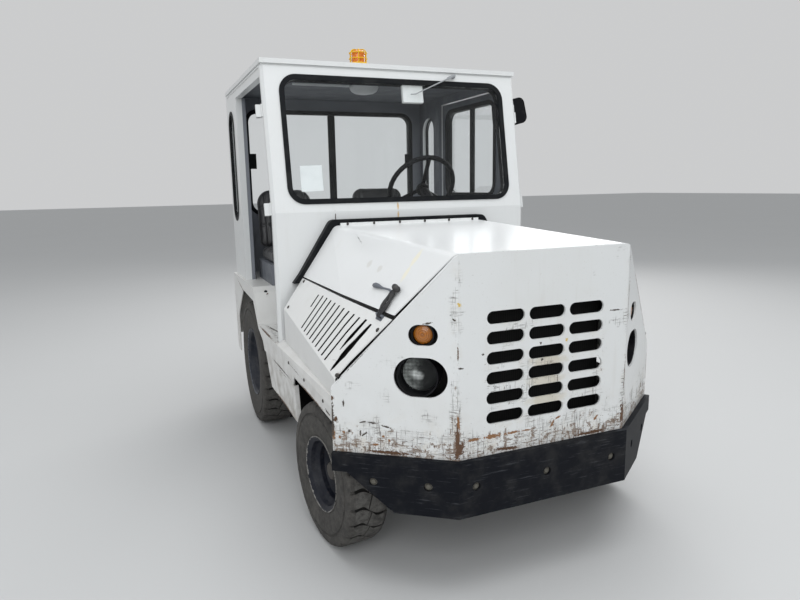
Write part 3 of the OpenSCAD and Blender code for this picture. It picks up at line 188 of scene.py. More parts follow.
class Look:
    """A material whose shader's inputs are driven by procedural patterns in the part's frame."""

    def __init__(self, name, colour, rough, **plain):
        self.mat = bpy.data.materials.new(name)
        self.mat.use_nodes = True
        self.tree = self.mat.node_tree
        self.tree.nodes.clear()
        self.out = self.node("ShaderNodeOutputMaterial")
        self.shader = self.node("ShaderNodeBsdfPrincipled", **plain)
        self.tree.links.new(self.shader.outputs[0], self.out.inputs[0])
        self.colour, self.rough, self.normal = rgb(colour), rough, None
        where = self.node("ShaderNodeTexCoord").outputs
        self.spot, self.faces_to = where["Object"], where["Normal"]
        self.x, self.y, self.z = self.node("ShaderNodeSeparateXYZ", self.spot).outputs

    def node(self, kind, *values, **more):
        return put(self.tree, kind, *values, **more)

    def math(self, op, *values):
        """One sum, product or the like; more than two values are taken up one after the other."""
        total = self.node("ShaderNodeMath", *values[:2], operation=op).outputs[0]
        for value in values[2:]:
            total = self.node("ShaderNodeMath", total, value, operation=op).outputs[0]
        return total

    def times(self, *values):
        return self.math("MULTIPLY", *values)

    def plus(self, *values):
        return self.math("ADD", *values)

    def most(self, *values):
        return self.math("MAXIMUM", *values) if len(values) > 1 else values[0]

    def size(self, value):
        return self.math("ABSOLUTE", value)

    def apart(self, a, b):
        return self.size(self.math("SUBTRACT", a, b))

    def ragged(self, value, pattern, amount):
        """The value, shifted to and fro by a pattern round 0.5."""
        return self.plus(value, self.times(self.math("SUBTRACT", pattern, 0.5), amount))

    def dot(self, a, b):
        return self.node("ShaderNodeVectorMath", a, tuple(b), operation="DOT_PRODUCT").outputs["Value"]

    def noise(self, scale, detail, rough, stretch=None):
        spot = self.node("ShaderNodeMapping", self.spot, Scale=stretch).outputs[0] if stretch else self.spot
        return self.node("ShaderNodeTexNoise", Vector=spot, Scale=scale, Detail=detail,
                         Roughness=rough).outputs[0]

    def waves(self, way, scale):
        """Bands that repeat along an axis."""
        return self.node("ShaderNodeTexWave", self.spot, Scale=scale, bands_direction=way).outputs[1]

    def ramp(self, value, low, high, to_low=0.0, to_high=1.0):
        return self.node("ShaderNodeMapRange", value, low, high, to_low, to_high,
                         interpolation_type="SMOOTHSTEP").outputs[0]

    def mix(self, a, b, share, kind="RGBA", first=6):
        node = self.node("ShaderNodeMix", share, data_type=kind)
        give(self.tree, node.inputs[first], a)
        give(self.tree, node.inputs[first + 1], b)
        return node.outputs[0 if kind == "FLOAT" else 2]

    def blend(self, a, b, share):
        return self.mix(rgb(a), rgb(b), share)

    def rust(self):
        return self.blend(RUST_DARK, RUST_LIGHT, self.noise(60, 4, 0.7))

    def cover(self, share, colour, rough=None):
        """Lays another colour over the one so far, where share is 1."""
        self.colour = self.blend(self.colour, colour, share)
        if rough is not None:
            self.rough = self.mix(self.rough, rough, share, "FLOAT", 2)

    def patches(self, pattern, low, high, most, colour, rough=None):
        """Lays a colour over a noise's peaks, at most so strong."""
        self.cover(self.ramp(self.noise(*pattern), low, high, 0, most), colour, rough)

    def raise_by(self, height, strength, distance):
        """Bumps the surface by a pattern, on top of earlier bumps."""
        self.normal = self.node("ShaderNodeBump", Strength=strength, Distance=distance, Height=height,
                                Normal=self.normal).outputs[0]

    def near(self, a, b, radius):
        """1 on the line from a to b, falling to 0 at a distance of radius, in metres."""
        return self.node("ShaderNodeGroup", node_tree=near_group(), Point=self.spot, From=a, To=b,
                         Radius=radius).outputs[0]

    def streak(self, a, b, radius):
        """1 at the middle of the line from a to b, falling to 0 a little past its ends and at a distance of
        radius, all in vehicle millimetres."""
        a, b, radius = place(*a), place(*b), radius / 1000
        node = self.node("ShaderNodeTexGradient", self.spot, gradient_type="SPHERICAL")
        mapping = node.texture_mapping
        mapping.vector_type = "TEXTURE"
        mapping.translation = (a + b) / 2
        mapping.rotation = (b - a).to_track_quat("X", "Z").to_euler()
        mapping.scale = ((b - a).length * 0.62 + radius, radius, radius)
        return node.outputs["Fac"]

    def edges(self):
        """1 along sharp outer edges, from the difference between the rounded and the true normal."""
        soft = self.node("ShaderNodeBevel", Radius=EDGE_WIDTH, samples=4).outputs[0]
        flat = self.node("ShaderNodeNewGeometry").outputs["Normal"]
        dot = self.node("ShaderNodeVectorMath", soft, flat, operation="DOT_PRODUCT").outputs["Value"]
        return self.ramp(dot, 0.985, 0.80)

    def done(self):
        give(self.tree, self.shader.inputs["Base Color"], self.colour)
        give(self.tree, self.shader.inputs["Roughness"], self.rough)
        give(self.tree, self.shader.inputs["Normal"], self.normal)
        return self.mat


def near_group():
    """The node group that gives a point's nearness to a line."""
    group = bpy.data.node_groups.get("near_line")
    if group:
        return group
    group = bpy.data.node_groups.new("near_line", "ShaderNodeTree")
    for name in ("Point", "From", "To", "Radius"):
        kind = "NodeSocketFloat" if name == "Radius" else "NodeSocketVector"
        group.interface.new_socket(name, in_out="INPUT", socket_type=kind)
    group.interface.new_socket("Near", in_out="OUTPUT", socket_type="NodeSocketFloat")
    p, a, b, radius = group.nodes.new("NodeGroupInput").outputs[:4]

    def vec(op, *v, **more):
        return put(group, "ShaderNodeVectorMath", *v, operation=op, **more).outputs

    def calc(op, *v, clamp=False):
        return put(group, "ShaderNodeMath", *v, operation=op, use_clamp=clamp).outputs[0]

    ap, ab = vec("SUBTRACT", p, a)[0], vec("SUBTRACT", b, a)[0]
    length = calc("MAXIMUM", vec("DOT_PRODUCT", ab, ab)["Value"], 1e-9)
    part = calc("DIVIDE", vec("DOT_PRODUCT", ap, ab)["Value"], length, clamp=True)
    foot = vec("SCALE", ab, Scale=part)[0]
    share = calc("DIVIDE", vec("DISTANCE", ap, foot)["Value"], radius)
    near = calc("SUBTRACT", 1.0, share, clamp=True)
    group.links.new(near, group.nodes.new("NodeGroupOutput").inputs[0])
    return group


# Paint
MARK_COLOURS = {"orange": (0.235, 0.115, 0.050), "dark": (0.060, 0.047, 0.038),
                "yellow": (0.62, 0.44, 0.12), "run": (0.60, 0.42, 0.22)}
# The black below is painted shade for the louvres' slot walls; ochre and soot are scratch colours
SLOT_SHADE_BLACK, OCHRE, SOOT = (0.012, 0.012, 0.012), (0.52, 0.43, 0.30), (0.060, 0.045, 0.035)
# Painted shade inside the cab: two greys for its shaded inner faces, and a paler grey for painted light on
# its rear wall
INSIDE_SHADE_DARK, INSIDE_SHADE_LIGHT, INSIDE_REAR_LIT = (0.105, 0.115, 0.135), (0.165, 0.175, 0.19), (0.21, 0.22, 0.245)
SCREEN_SLOPE, SCREEN_BACK, POST_BACK = 0.1763, -1.7458, -1.5620
REAR_WALL, ROOF_LOW, CAB_FLOOR, BLUR = -0.2032, 1.7522, 0.314, 0.0004


def lay_marks(look, kind, lines):
    """Thin ragged marks along lines given in vehicle millimetres, with specks round them."""
    value = look.most(*[look.streak(a, b, radius * 1.5) for a, b, radius in lines])
    core = look.ramp(look.ragged(value, look.noise(110, 4, 0.75), 1.5), 0.52, 0.60)
    specks = look.times(look.ramp(look.noise(230, 2, 0.6), 0.60, 0.66),
                        look.ramp(value, 0.02, 0.40, 0, 0.8))
    mask = look.times(look.most(core, specks), look.ramp(value, 0.0, 0.06))
    look.cover(mask, MARK_COLOURS.get(kind) or look.rust(), 0.85)
    return mask


def inside_cab_shade(look, half):
    """Painted shade on the faces that look into the cab, found from where they are: the white paint greyed
    unevenly there, with painted light making its rear wall paler.
    """
    def over(value, limit, blur=BLUR):
        return look.ramp(value, limit - blur, limit + blur)

    from_screen = look.math("SUBTRACT", look.y, look.times(look.z, SCREEN_SLOPE))
    mask = look.times(over(look.size(look.x), half, -BLUR), over(from_screen, SCREEN_BACK),
                      over(look.y, POST_BACK, 0.0005), over(look.y, REAR_WALL, -BLUR),
                      over(look.z, ROOF_LOW, -BLUR), over(look.z, CAB_FLOOR, 0.001))
    grey = look.blend(INSIDE_SHADE_DARK, INSIDE_SHADE_LIGHT, look.ramp(look.noise(9, 3, 0.6), 0.35, 0.8))
    # Painted light: faces that look forwards, on the rear wall, are paler
    ahead = look.ramp(look.dot(look.faces_to, (0, -1, 0)), 0.5, 0.9, 0, 0.75)
    look.cover(mask, look.blend(grey, INSIDE_REAR_LIT, ahead), 0.75)


def scratch_low(look):
    """Fine brown scratches and specks, dense low on the nose and at its folds, sparse between the slots."""
    x, z = look.size(look.x), look.z
    low = look.ramp(z, 0.33, 0.135)
    fold = look.times(look.ramp(look.apart(x, 0.386), 0.034, 0.006), look.ramp(z, 0.62, 0.16, 0.30, 1.0))
    slots = look.times(look.ramp(x, 0.30, 0.26, 0, 0.45), look.ramp(z, 0.80, 0.45))
    region = look.most(low, fold, slots)

    def threads(patterns, detail, rough, level):
        """Thin lines, where stretched noises pass through one level."""
        waves = [(look.apart(look.noise(scale, detail, rough, stretch), level), thin)
                 for stretch, scale, thin in patterns]
        return look.most(*[look.ramp(wave, thin, thin * 0.4) for wave, thin in waves])

    def dense(pattern, share, start, end):
        """A noise's peaks, more of them where the region is strong."""
        return look.ramp(look.plus(look.noise(*pattern), look.times(region, share)), start, end)

    long = (((1, 1, 15), 2.6, 0.050), ((15, 15, 1), 2.3, 0.042), ((3, 3, 8), 4.0, 0.026))
    long = threads(long, 3, 0.6, 0.5)
    long = look.times(long, dense((24, 4, 0.7), 0.27, 0.74, 0.82))
    fine = threads((((1, 1, 26), 5.2, 0.020), ((26, 26, 1), 4.4, 0.018)), 2, 0.5, 0.47)
    fine = look.times(fine, dense((9, 3, 0.6), 0.30, 0.62, 0.74), 0.8)
    dots = dense((105, 3, 0.65), 0.16, 0.76, 0.80)
    wash = look.times(look.ramp(look.noise(16, 4, 0.7), 0.45, 0.75), region, 0.42)
    look.cover(wash, OCHRE, 0.6)
    look.cover(fine, SOOT, 0.8)
    brown = look.blend((0.075, 0.050, 0.034), (0.22, 0.13, 0.07), look.noise(40, 3, 0.6))
    look.cover(look.times(long, 0.8), brown, 0.8)
    look.cover(look.times(dots, 0.9), look.rust(), 0.85)
    return look.most(long, dots)


def white_paint(name, base=(0.70, 0.71, 0.705), marks=None, stains=(), wear=0.5, grime=0.5, cab_half=None,
                low_dust=0.55, scratched=False, slot_shade_way=None):
    """Old white paint: grime, dust low down, chipped edges, marks along the given lines, and stains.
    With cab_half, faces that look into the cab get painted shade, paler on its rear wall. With the slots'
    direction, the louvres' walls get painted shade: black."""
    look = Look(name, base, 0.30, Coat_Weight=0.22, Coat_Roughness=0.14)
    broad = look.noise(2.2, 3, 0.6)
    look.cover(look.ramp(broad, 0.42, 0.75, 0, 0.30 * grime), (0.58, 0.57, 0.53), 0.45)
    runs = look.ramp(look.noise(26, 3, 0.6, (1, 1, 0.07)), 0.55, 0.78, 0, 0.45 * grime)
    look.cover(look.times(runs, broad), (0.50, 0.47, 0.41))
    look.patches((150, 2, 0.5), 0.67, 0.74, 0.40 * grime, (0.40, 0.37, 0.32))
    low = look.ramp(look.z, 0.45, -0.02, 0, low_dust)
    look.cover(look.times(low, look.ramp(look.noise(9, 4, 0.65), 0.35, 0.7)), DUST, 0.7)
    for a, b, radius, colour in stains:
        near = look.streak(a, b, radius * 1.4)
        wavy = look.ragged(near, look.noise(30, 4, 0.65), 0.7)
        look.cover(look.times(look.ramp(wavy, 0.30, 0.70, 0, 0.85), look.ramp(near, 0.0, 0.1)), colour, 0.5)
    chips = look.plus(look.times(look.edges(), 0.42), look.noise(85, 5, 0.75))
    mask = look.ramp(chips, 1.12 - 0.20 * wear, 1.16 - 0.18 * wear)
    look.cover(look.times(mask, 0.9), look.rust(), 0.85)
    if scratched:
        mask = look.most(mask, scratch_low(look))
    for kind, lines in (marks or {}).items():
        mask = look.most(mask, lay_marks(look, kind, lines))
    if slot_shade_way:
        # Painted shade: faces that run across the slope, the louvres' walls and the cover's cut ends, are
        # painted black for the shade in the slots
        walls = look.ramp(look.size(look.dot(look.faces_to, slot_shade_way)), 0.50, 0.30)
        look.cover(walls, SLOT_SHADE_BLACK, 0.8)
    # Painted shade on the faces inside the cab
    if cab_half:
        inside_cab_shade(look, cab_half)
    look.raise_by(mask, 0.5, -0.0006)
    look.raise_by(look.noise(3.0, 1, 0.4), 0.10, 0.012)
    look.raise_by(look.noise(420, 1, 0.4), 0.05, 0.0004)
    return look.done()


# Metal, rubber, glass and the rest
def black_metal(name, base=(0.028, 0.028, 0.030), dust=0.6, rough=0.5, rust=0.4):
    look = Look(name, base, rough, Specular_IOR_Level=0.3)
    low = look.ramp(look.z, 0.30, -0.25, 0.25, 1.0)
    look.cover(look.times(look.ramp(look.noise(5, 5, 0.7), 0.35, 0.85, 0, dust * 0.6), low), DUST, 0.85)
    look.patches((170, 3, 0.65), 0.50, 0.80, dust * 0.3, DUST, 0.85)
    edge = look.plus(look.times(look.edges(), 0.30), look.noise(75, 5, 0.75))
    look.cover(look.ramp(edge, 0.74, 0.86, 0, rust), look.rust(), 0.85)
    look.raise_by(look.noise(180, 3, 0.6), 0.25, 0.001)
    return look.done()


def rubber(name, base, rough=0.55, dust=0.05, scratch=0.0):
    look = Look(name, base, rough, Specular_IOR_Level=0.12)
    look.patches((11, 4, 0.65), 0.42, 0.75, dust, (0.20, 0.19, 0.17), 0.85)
    if scratch:
        look.patches((16, 5, 0.7, (0.6, 0.6, 9)), 0.57, 0.70, scratch, (0.10, 0.105, 0.115), 0.8)
    look.raise_by(look.noise(260, 2, 0.5), 0.2, 0.0006)
    return look.done()


def wheel_radius(look, spot, along):
    """A point's distance from a wheel's axle line, in metres, up to half a metre."""
    near = look.near(spot - along * 3, spot + along * 3, 0.5)
    return look.times(look.math("SUBTRACT", 1.0, near), 0.5)


def tyre_rubber(name, spot, along, r, half_tread, both=False, base=(0.027, 0.026, 0.025)):
    """Tyre rubber, with brown-grey dust on the tread's blocks and the sidewall, and painted shade in the
    grooves. It suits one wheel, or with both the two on one axle line."""
    look = Look(name, base, 0.80, Specular_IOR_Level=0.3)
    look.cover(look.ramp(look.noise(34, 5, 0.7), 0.32, 0.72, 0.20, 0.80), (0.088, 0.083, 0.076), 0.9)
    look.patches((7, 3, 0.6), 0.5, 0.75, 0.35, (0.135, 0.127, 0.115), 0.9)
    look.patches((210, 3, 0.65), 0.60, 0.70, 0.5, (0.19, 0.18, 0.165), 0.9)
    radius = wheel_radius(look, spot, along)
    across = look.dot(look.spot, along)
    off = look.apart(look.size(across) if both else across, spot.dot(along))
    on_tread = look.ramp(off, half_tread, half_tread - 0.006)
    # Painted shade: the grooves, below the tread's face, are painted near-black
    deep = look.times(look.ramp(radius, r - 0.0020, r - 0.0050), on_tread, 0.9)
    look.cover(deep, (0.006, 0.0058, 0.0055), 0.95)
    worn = look.times(look.ramp(radius, r - 0.0030, r - 0.0010), on_tread,
                      look.ramp(look.noise(48, 4, 0.7), 0.35, 0.65, 0, 0.45))
    look.cover(worn, (0.16, 0.155, 0.145), 0.9)
    look.raise_by(look.noise(300, 3, 0.6), 0.35, 0.0008)
    return look.done()


def rim_paint(name, spot, along, lip, hub, base, lip_colour, dusty):
    """Rim paint, nearly black in the dish, worn pale on its lip and rusty round the hub."""
    look = Look(name, base, 0.5, Specular_IOR_Level=0.3)
    look.patches((26, 4, 0.7), 0.42, 0.75, dusty, (0.060, 0.060, 0.062), 0.8)
    radius = look.ragged(wheel_radius(look, spot, along), look.noise(60, 4, 0.7), 0.030)
    look.cover(look.ramp(radius, lip - 0.002, lip + 0.002, 0, 0.85), lip_colour, 0.55)
    look.patches((45, 5, 0.75), 0.62, 0.70, 0.6, look.rust(), 0.85)
    look.cover(look.ramp(radius, hub + 0.012, hub, 0, 0.9), look.rust(), 0.8)
    look.raise_by(look.noise(150, 3, 0.6), 0.25, 0.001)
    return look.done()


def glass(name, colour, rough=0.02, dirt=0.012, gleam=0.22):
    """Clear glass that lets lamps through, with a faint film of dust."""
    look = Look(name, colour, rough)
    clear = look.node("ShaderNodeBsdfTransparent", rgb(colour))
    gloss = look.node("ShaderNodeBsdfGlossy", rgb((0.9, 0.9, 0.9)), rough)
    shine = look.times(look.node("ShaderNodeFresnel", 1.5).outputs[0], gleam)
    pane = look.node("ShaderNodeMixShader", shine, clear.outputs[0], gloss.outputs[0])
    film = look.node("ShaderNodeBsdfDiffuse", rgb((0.62, 0.63, 0.60)))
    share = look.ramp(look.noise(6, 4, 0.65), 0.35, 0.8, 0.004, dirt)
    both = look.node("ShaderNodeMixShader", share, pane.outputs[0], film.outputs[0])
    look.tree.links.new(both.outputs[0], look.out.inputs[0])
    look.tree.nodes.remove(look.shader)
    return look.mat


def plastic(name, colour, rough=0.4, dust=0.2):
    look = Look(name, colour, rough, Specular_IOR_Level=0.16)
    look.patches((20, 4, 0.6), 0.45, 0.8, dust, (0.26, 0.25, 0.23), 0.8)
    look.raise_by(look.noise(500, 2, 0.5), 0.15, 0.0004)
    return look.done()


def lens_plastic(name, colour, centres=()):
    """Tinted lamp plastic with fine ribs, or rings round the given centres."""
    look = Look(name, colour, 0.18, Transmission_Weight=0.30, IOR=1.45, Coat_Weight=0.5)
    dark = (colour[0] * 0.45, colour[1] * 0.40, colour[2] * 0.5)
    look.patches((40, 4, 0.6), 0.45, 0.8, 0.5, dark, 0.4)
    if centres:
        near = look.most(*[look.near(spot, spot, 0.06) for spot in centres])
        ribs = look.math("SINE", look.times(near, 62.0))
        look.cover(look.ramp(ribs, -0.2, -0.9, 0, 0.55), dark, 0.3)
    else:
        ribs = look.waves("Z", 60)
    look.raise_by(ribs, 0.35, 0.0008)
    return look.done()


def vinyl(name):
    # Black vinyl, darkened further as painted shade for the inside of the cab
    look = Look(name, (0.024, 0.024, 0.026), 0.42, Sheen_Weight=0.1)
    look.patches((14, 4, 0.65), 0.45, 0.8, 0.3, (0.11, 0.105, 0.10), 0.7)
    look.raise_by(look.node("ShaderNodeTexVoronoi", look.spot, Scale=420).outputs[0], 0.3, 0.0006)
    look.raise_by(look.noise(22, 3, 0.6, (1, 0.5, 1)), 0.25, 0.003)
    return look.done()


def paper(name, colour, rough=0.8):
    look = Look(name, colour, rough)
    look.patches((12, 4, 0.6), 0.4, 0.8, 0.5, tuple(c * 0.86 for c in colour))
    look.raise_by(look.noise(45, 3, 0.6), 0.3, 0.002)
    return look.done()


def bright_metal(name):
    look = Look(name, (0.55, 0.55, 0.54), 0.32, Metallic=1.0)
    look.patches((70, 4, 0.7), 0.55, 0.75, 0.6, (0.20, 0.15, 0.11), 0.7)
    look.raise_by(look.noise(260, 3, 0.6), 0.2, 0.0006)
    return look.done()


def radiator_core_and_shade(name):
    """Fine dark fins behind the grille, made near-black as painted shade behind it too."""
    look = Look(name, (0.0035, 0.0035, 0.0035), 0.7, Specular_IOR_Level=0.15)
    fins = look.waves("Z", 90)
    look.cover(look.times(fins, look.ramp(look.waves("X", 32), 0.2, 0.8)), (0.012, 0.0115, 0.011))
    look.raise_by(fins, 0.6, 0.002)
    return look.done()


def lamp_reflector_painted_light(name):
    """The lamps' reflector with painted light: a painted highlight where it faces outwards, painted shade
    towards the fold, moulded ribs and a painted glint.
    """
    look = Look(name, (0.003, 0.0035, 0.004), 0.40, Specular_IOR_Level=0.15)
    along = look.plus(look.times(look.size(look.x), 0.806), look.times(look.y, 0.592))
    uneven = look.ramp(look.noise(30, 4, 0.7), 0.30, 0.70, 0.25, 1.0)
    grid = look.times(look.ramp(look.waves("Z", 22), 0.0, 1.0, 0.70, 1.0),
                      look.ramp(look.waves("X", 25), 0.0, 1.0, 0.80, 1.0))
    # Painted light: the near-black base is painted shade towards the fold, and the pale cover is a painted
    # highlight where the reflector faces outwards
    lit = look.times(look.ramp(along, -1.292, -1.222, 0.03, 1.0), uneven, grid)
    look.cover(lit, (0.40, 0.42, 0.40), 0.35)
    # Painted highlight: a pale glint line on each lamp
    glint = look.most(*[look.near(on_facet(side, 158, 68, 842), on_facet(side, 172, 68, 846), 0.026)
                        for side, _ in SIDES])
    look.cover(look.times(look.ramp(glint, 0.1, 0.8, 0, 0.8), grid), (0.88, 0.90, 0.88), 0.3)
    return look.done()


# Marks on the paint, from the photograph: lines from one place to another, and how far they reach round it
NOSE_MARKS = {
    "rust": [
        ((-383, 0, 546), (-383, 0, 680), 13), ((372, 0, 548), (382, 0, 640), 12),
        ((-391, 0, 546), (-361, 0, 613), 22), ((-386, 0, 613), (-381, 0, 738), 7),
        ((-381, 0, 900), (-382, 0, 1000), 4), ((398, 8, 547), (372, 0, 664), 20),
        ((380, 0, 664), (392, 4, 900), 7), ((392, 4, 900), (408, 18, 1259), 5),
        ((-260, 0, 560), (-100, 0, 548), 9), ((100, 0, 548), (330, 0, 552), 9),
        ((-771, 286, 556), (-774, 288, 700), 8), ((-700, 235, 552), (-480, 75, 552), 10),
        ((775, 289, 545), (775, 289, 800), 9), ((381, 0, 1306), (775, 289, 794), 4),
        ((-762, 279, 672), (-764, 280, 668), 14), ((-774, 288, 755), (-774, 288, 752), 12),
    ],
    "orange": [
        ((-355, 0, 615), (-277, 0, 612), 8), ((-277, 0, 612), (-195, 0, 613), 14),
        ((-195, 0, 613), (-115, 0, 613), 8), ((-115, 0, 613), (-57, 0, 611), 5),
        ((24, 0, 603), (42, 0, 633), 7), ((42, 0, 633), (79, 0, 649), 6),
        ((-386, 0, 741), (-374, 0, 638), 6), ((232, 0, 596), (256, 0, 622), 8),
        ((-771, 286, 633), (-773, 287, 584), 10), ((-648, 196, 578), (-622, 177, 581), 7),
        ((-752, 272, 599), (-752, 272, 597), 8), ((-738, 262, 621), (-738, 262, 620), 7),
        ((-611, 169, 615), (-610, 168, 614), 7), ((-593, 156, 601), (-592, 155, 600), 6),
    ],
    "dark": [
        ((-425, 32, 603), (-350, 0, 600), 5), ((-420, 28, 575), (-345, 0, 577), 5),
        ((-410, 21, 640), (-368, 0, 641), 4), ((276, 0, 1047), (363, 0, 1045), 4),
        ((-772, 287, 548), (-773, 287, 790), 7), ((-771, 284, 798), (-600, 160, 1030), 4),
        ((-383, 0, 895), (-356, 0, 892), 5), ((-29, 0, 949), (-28, 0, 949), 7),
        ((-21, 0, 885), (-20, 0, 885), 7), ((-279, 0, 935), (-278, 0, 935), 6),
        ((-736, 261, 749), (-737, 261, 721), 6), ((-684, 222, 634), (-684, 222, 607), 5),
        ((-684, 222, 607), (-657, 203, 631), 5), ((-720, 249, 627), (-719, 249, 626), 7),
        ((-686, 224, 663), (-665, 208, 670), 5), ((-665, 208, 670), (-627, 180, 661), 5),
        ((-627, 180, 661), (-575, 142, 647), 5), ((-398, 13, 1079), (-388, 5, 1071), 5),
        ((-489, 79, 1052), (-451, 51, 1064), 5),
    ],
    "yellow": [((-377, 0, 1130), (-376, 0, 1127), 9), ((91, 0, 951), (92, 0, 949), 8)],
}
NOSE_STAINS = [((-90, 0, z), (90, 0, z), 34, (0.56, 0.52, 0.43)) for z in (724, 801, 877)]
HOOD_MARKS = {
    # The first dark line, along the hood's crest, is painted shade in a soft crease; the second is a dark
    # joint at the front edge
    "dark": [((-432, 954, 1323), (-457, 765, 1273), 4), ((-398, 13, 1290), (-430, 30, 1250), 4)],
    "rust": [((-621, 16, 1083), (-600, 300, 1085), 4)],
}
SAND_STAIN, GREY_STAIN = (0.78, 0.74, 0.60), (0.62, 0.61, 0.58)
HOOD_STAINS = [
    ((-404, 251, 1307), (-448, 259, 1244), 22, SAND_STAIN),
    ((-448, 259, 1244), (-491, 257, 1183), 20, SAND_STAIN),
    ((-489, 608, 1214), (-489, 600, 1212), 26, GREY_STAIN),
    ((-487, 492, 1208), (-487, 486, 1206), 22, GREY_STAIN),
]
SIDE_MARKS = {
    "rust": [
        ((-772, 300, 657), (-772, 950, 657), 8), ((-766, 925, 430), (-766, 1540, 430), 10),
        ((-772, 1325, 728), (-772, 1900, 728), 10), ((-600, 1365, 732), (-772, 1365, 732), 22),
        ((-772, 1900, 760), (-772, 2780, 940), 6), ((-758, 1275, 752), (-764, 300, 752), 6),
        ((772, 300, 657), (772, 950, 657), 8), ((766, 925, 430), (766, 1540, 430), 10),
        ((772, 1325, 728), (772, 1900, 728), 10), ((-690, 1955, 745), (-690, 1955, 935), 12),
    ],
    "dark": [
        ((-772, 1560, 616), (-772, 930, 622), 6.5), ((-772, 1450, 592), (-772, 1000, 600), 5.5),
        ((-770, 1480, 568), (-770, 1180, 577), 5), ((-775, 1150, 700), (-775, 700, 690), 5),
        ((-775, 420, 676), (-775, 300, 668), 8), ((-690, 1500, 731), (-740, 1850, 731), 9),
        ((-640, 1420, 731), (-700, 1600, 731), 7),
    ],
}
COVER_MARKS = {
    "rust": [((-765, 281, 800), (-575, 150, 1058), 5), ((-750, 270, 835), (-750, 280, 850), 14)],
    "dark": [((-690, 330, 900), (-640, 215, 985), 5), ((-735, 420, 870), (-722, 330, 880), 4)],
}
CAB_MARKS = {
    "run": [((-58, 1332, 1460), (-58, 1328, 1405), 8), ((-58, 1328, 1415), (-57, 1325, 1365), 7)],
    "dark": [((-420, 1324, 1425), (-420, 1324, 1350), 4)],
}

COVER_WHITE = (0.70, 0.70, 0.685)
NAVY, REAR_NAVY = (0.005, 0.0065, 0.013), (0.013, 0.016, 0.024)
PALE_LIP, GREY_LIP = (0.30, 0.29, 0.27), (0.12, 0.13, 0.15)
FRONT_LIP, REAR_LIP, FRONT_HUB, REAR_HUB = 0.1625, 0.216, 0.046, 0.070
FRONT_TREAD, REAR_TREAD = 0.068, 0.080

paint_side = white_paint("paint_side", (0.66, 0.655, 0.635), SIDE_MARKS, wear=0.7, grime=0.9, low_dust=0.8)
paint_cab = white_paint("paint_cab", marks=CAB_MARKS, wear=0.25, grime=0.4, cab_half=0.7145)
chassis_black = black_metal("chassis_black")
cast_iron = black_metal("cast_iron", (0.045, 0.042, 0.040), dust=0.7, rust=0.7, rough=0.7)
old_zinc = black_metal("old_zinc", (0.095, 0.090, 0.075), rust=0.35, rough=0.6)
strap_rubber = rubber("strap_rubber", (0.035, 0.035, 0.037), rough=0.6, dust=0.4)
seal_rubber = rubber("seal_rubber", (0.0065, 0.0075, 0.009))
# Near-black foam, standing in for shade behind the louvres and in the wheel wells
shade_black_foam = rubber("shade_black_foam", (0.006, 0.006, 0.006), rough=0.9)
rear_tyre_rubber = tyre_rubber("rear_tyre_rubber", rear_centre(1), LEFT, REAR_R / 1000, REAR_TREAD, True,
                               (0.034, 0.032, 0.030))
black_plastic = plastic("black_plastic", (0.0045, 0.0045, 0.006), rough=0.5, dust=0.04)
arm_grey = plastic("arm_grey", (0.30, 0.31, 0.32), rough=0.35)
lever_grey = plastic("lever_grey", (0.12, 0.13, 0.15), rough=0.45)
yellow = plastic("guard_yellow", (0.70, 0.42, 0.02), rough=0.45, dust=0.15)
vinyl_black = vinyl("vinyl_black")
reflector = lamp_reflector_painted_light("lamp_painted_light")
card_paper = paper("card_paper", (0.80, 0.80, 0.78), 0.5)
sheet_paper = paper("sheet_paper", (0.86, 0.87, 0.86))
lamp_plastic = paper("lamp_plastic", (0.62, 0.63, 0.63), 0.35)

SLOT_LOOKS = {
    "white_paint": paint_cab, "frame_black": chassis_black, "iron": cast_iron,
    "mesh_dark": radiator_core_and_shade("radiator_core_and_shade"), "rubber_black": seal_rubber, "tyre": rear_tyre_rubber,
    "rim_navy": rim_paint("navy_rear", place(0, REAR_AXLE_Y, REAR_R), LEFT, REAR_LIP, REAR_HUB, REAR_NAVY,
                          GREY_LIP, 0.7),
    "plastic_black": black_plastic, "vinyl_black": vinyl_black,
    "window_glass": glass("pane_glass", (0.975, 0.985, 0.988)),
    "lamp_glass": glass("lamp_clear", (0.97, 0.98, 0.98)),
    "amber": lens_plastic("amber_lens", (0.52, 0.175, 0.016),
                          [on_facet(side, 131, 20, 1013) for side, _ in SIDES]),
    "red_lens": lens_plastic("red_lens", (0.45, 0.012, 0.010)), "guard_yellow": yellow,
    "steel": bright_metal("worn_steel"),
}
NODE_LOOKS = {
    "nose_plate": white_paint("paint_nose", marks=NOSE_MARKS, stains=NOSE_STAINS, wear=0.55, grime=0.6,
                              low_dust=0.3, scratched=True),
    "hood": white_paint("paint_hood", (0.72, 0.725, 0.72), HOOD_MARKS, HOOD_STAINS, wear=0.35, grime=0.3),
    "bumper": rubber("bumper_rubber", (0.0045, 0.0055, 0.0085), dust=0.07, scratch=0.34),
    "door_left": white_paint("paint_door", wear=0.25, grime=0.4, cab_half=0.7225),
    "beacon_lens": lens_plastic("beacon_orange", (0.85, 0.25, 0.02)),
}
front_tyre_rubber = {}
for side, word in SIDES:
    NODE_LOOKS["side_rail_" + word] = NODE_LOOKS["body_side_" + word] = paint_side
    NODE_LOOKS["engine_cover_" + word] = white_paint(
        "paint_cover_" + word, COVER_WHITE, COVER_MARKS if side < 0 else None, grime=0.7,
        slot_shade_way=(side * COVER_OUT_X, 0, COVER_OUT_Z))
    NODE_LOOKS["rim_front_" + word] = rim_paint("navy_front_" + word, front_centre(side), FRONT_ALONG,
                                                FRONT_LIP, FRONT_HUB, NAVY, PALE_LIP, 0.35)
    front_tyre_rubber[side] = tyre_rubber("front_tyre_" + word, front_centre(side), FRONT_ALONG,
                                          FRONT_R / 1000, FRONT_TREAD)


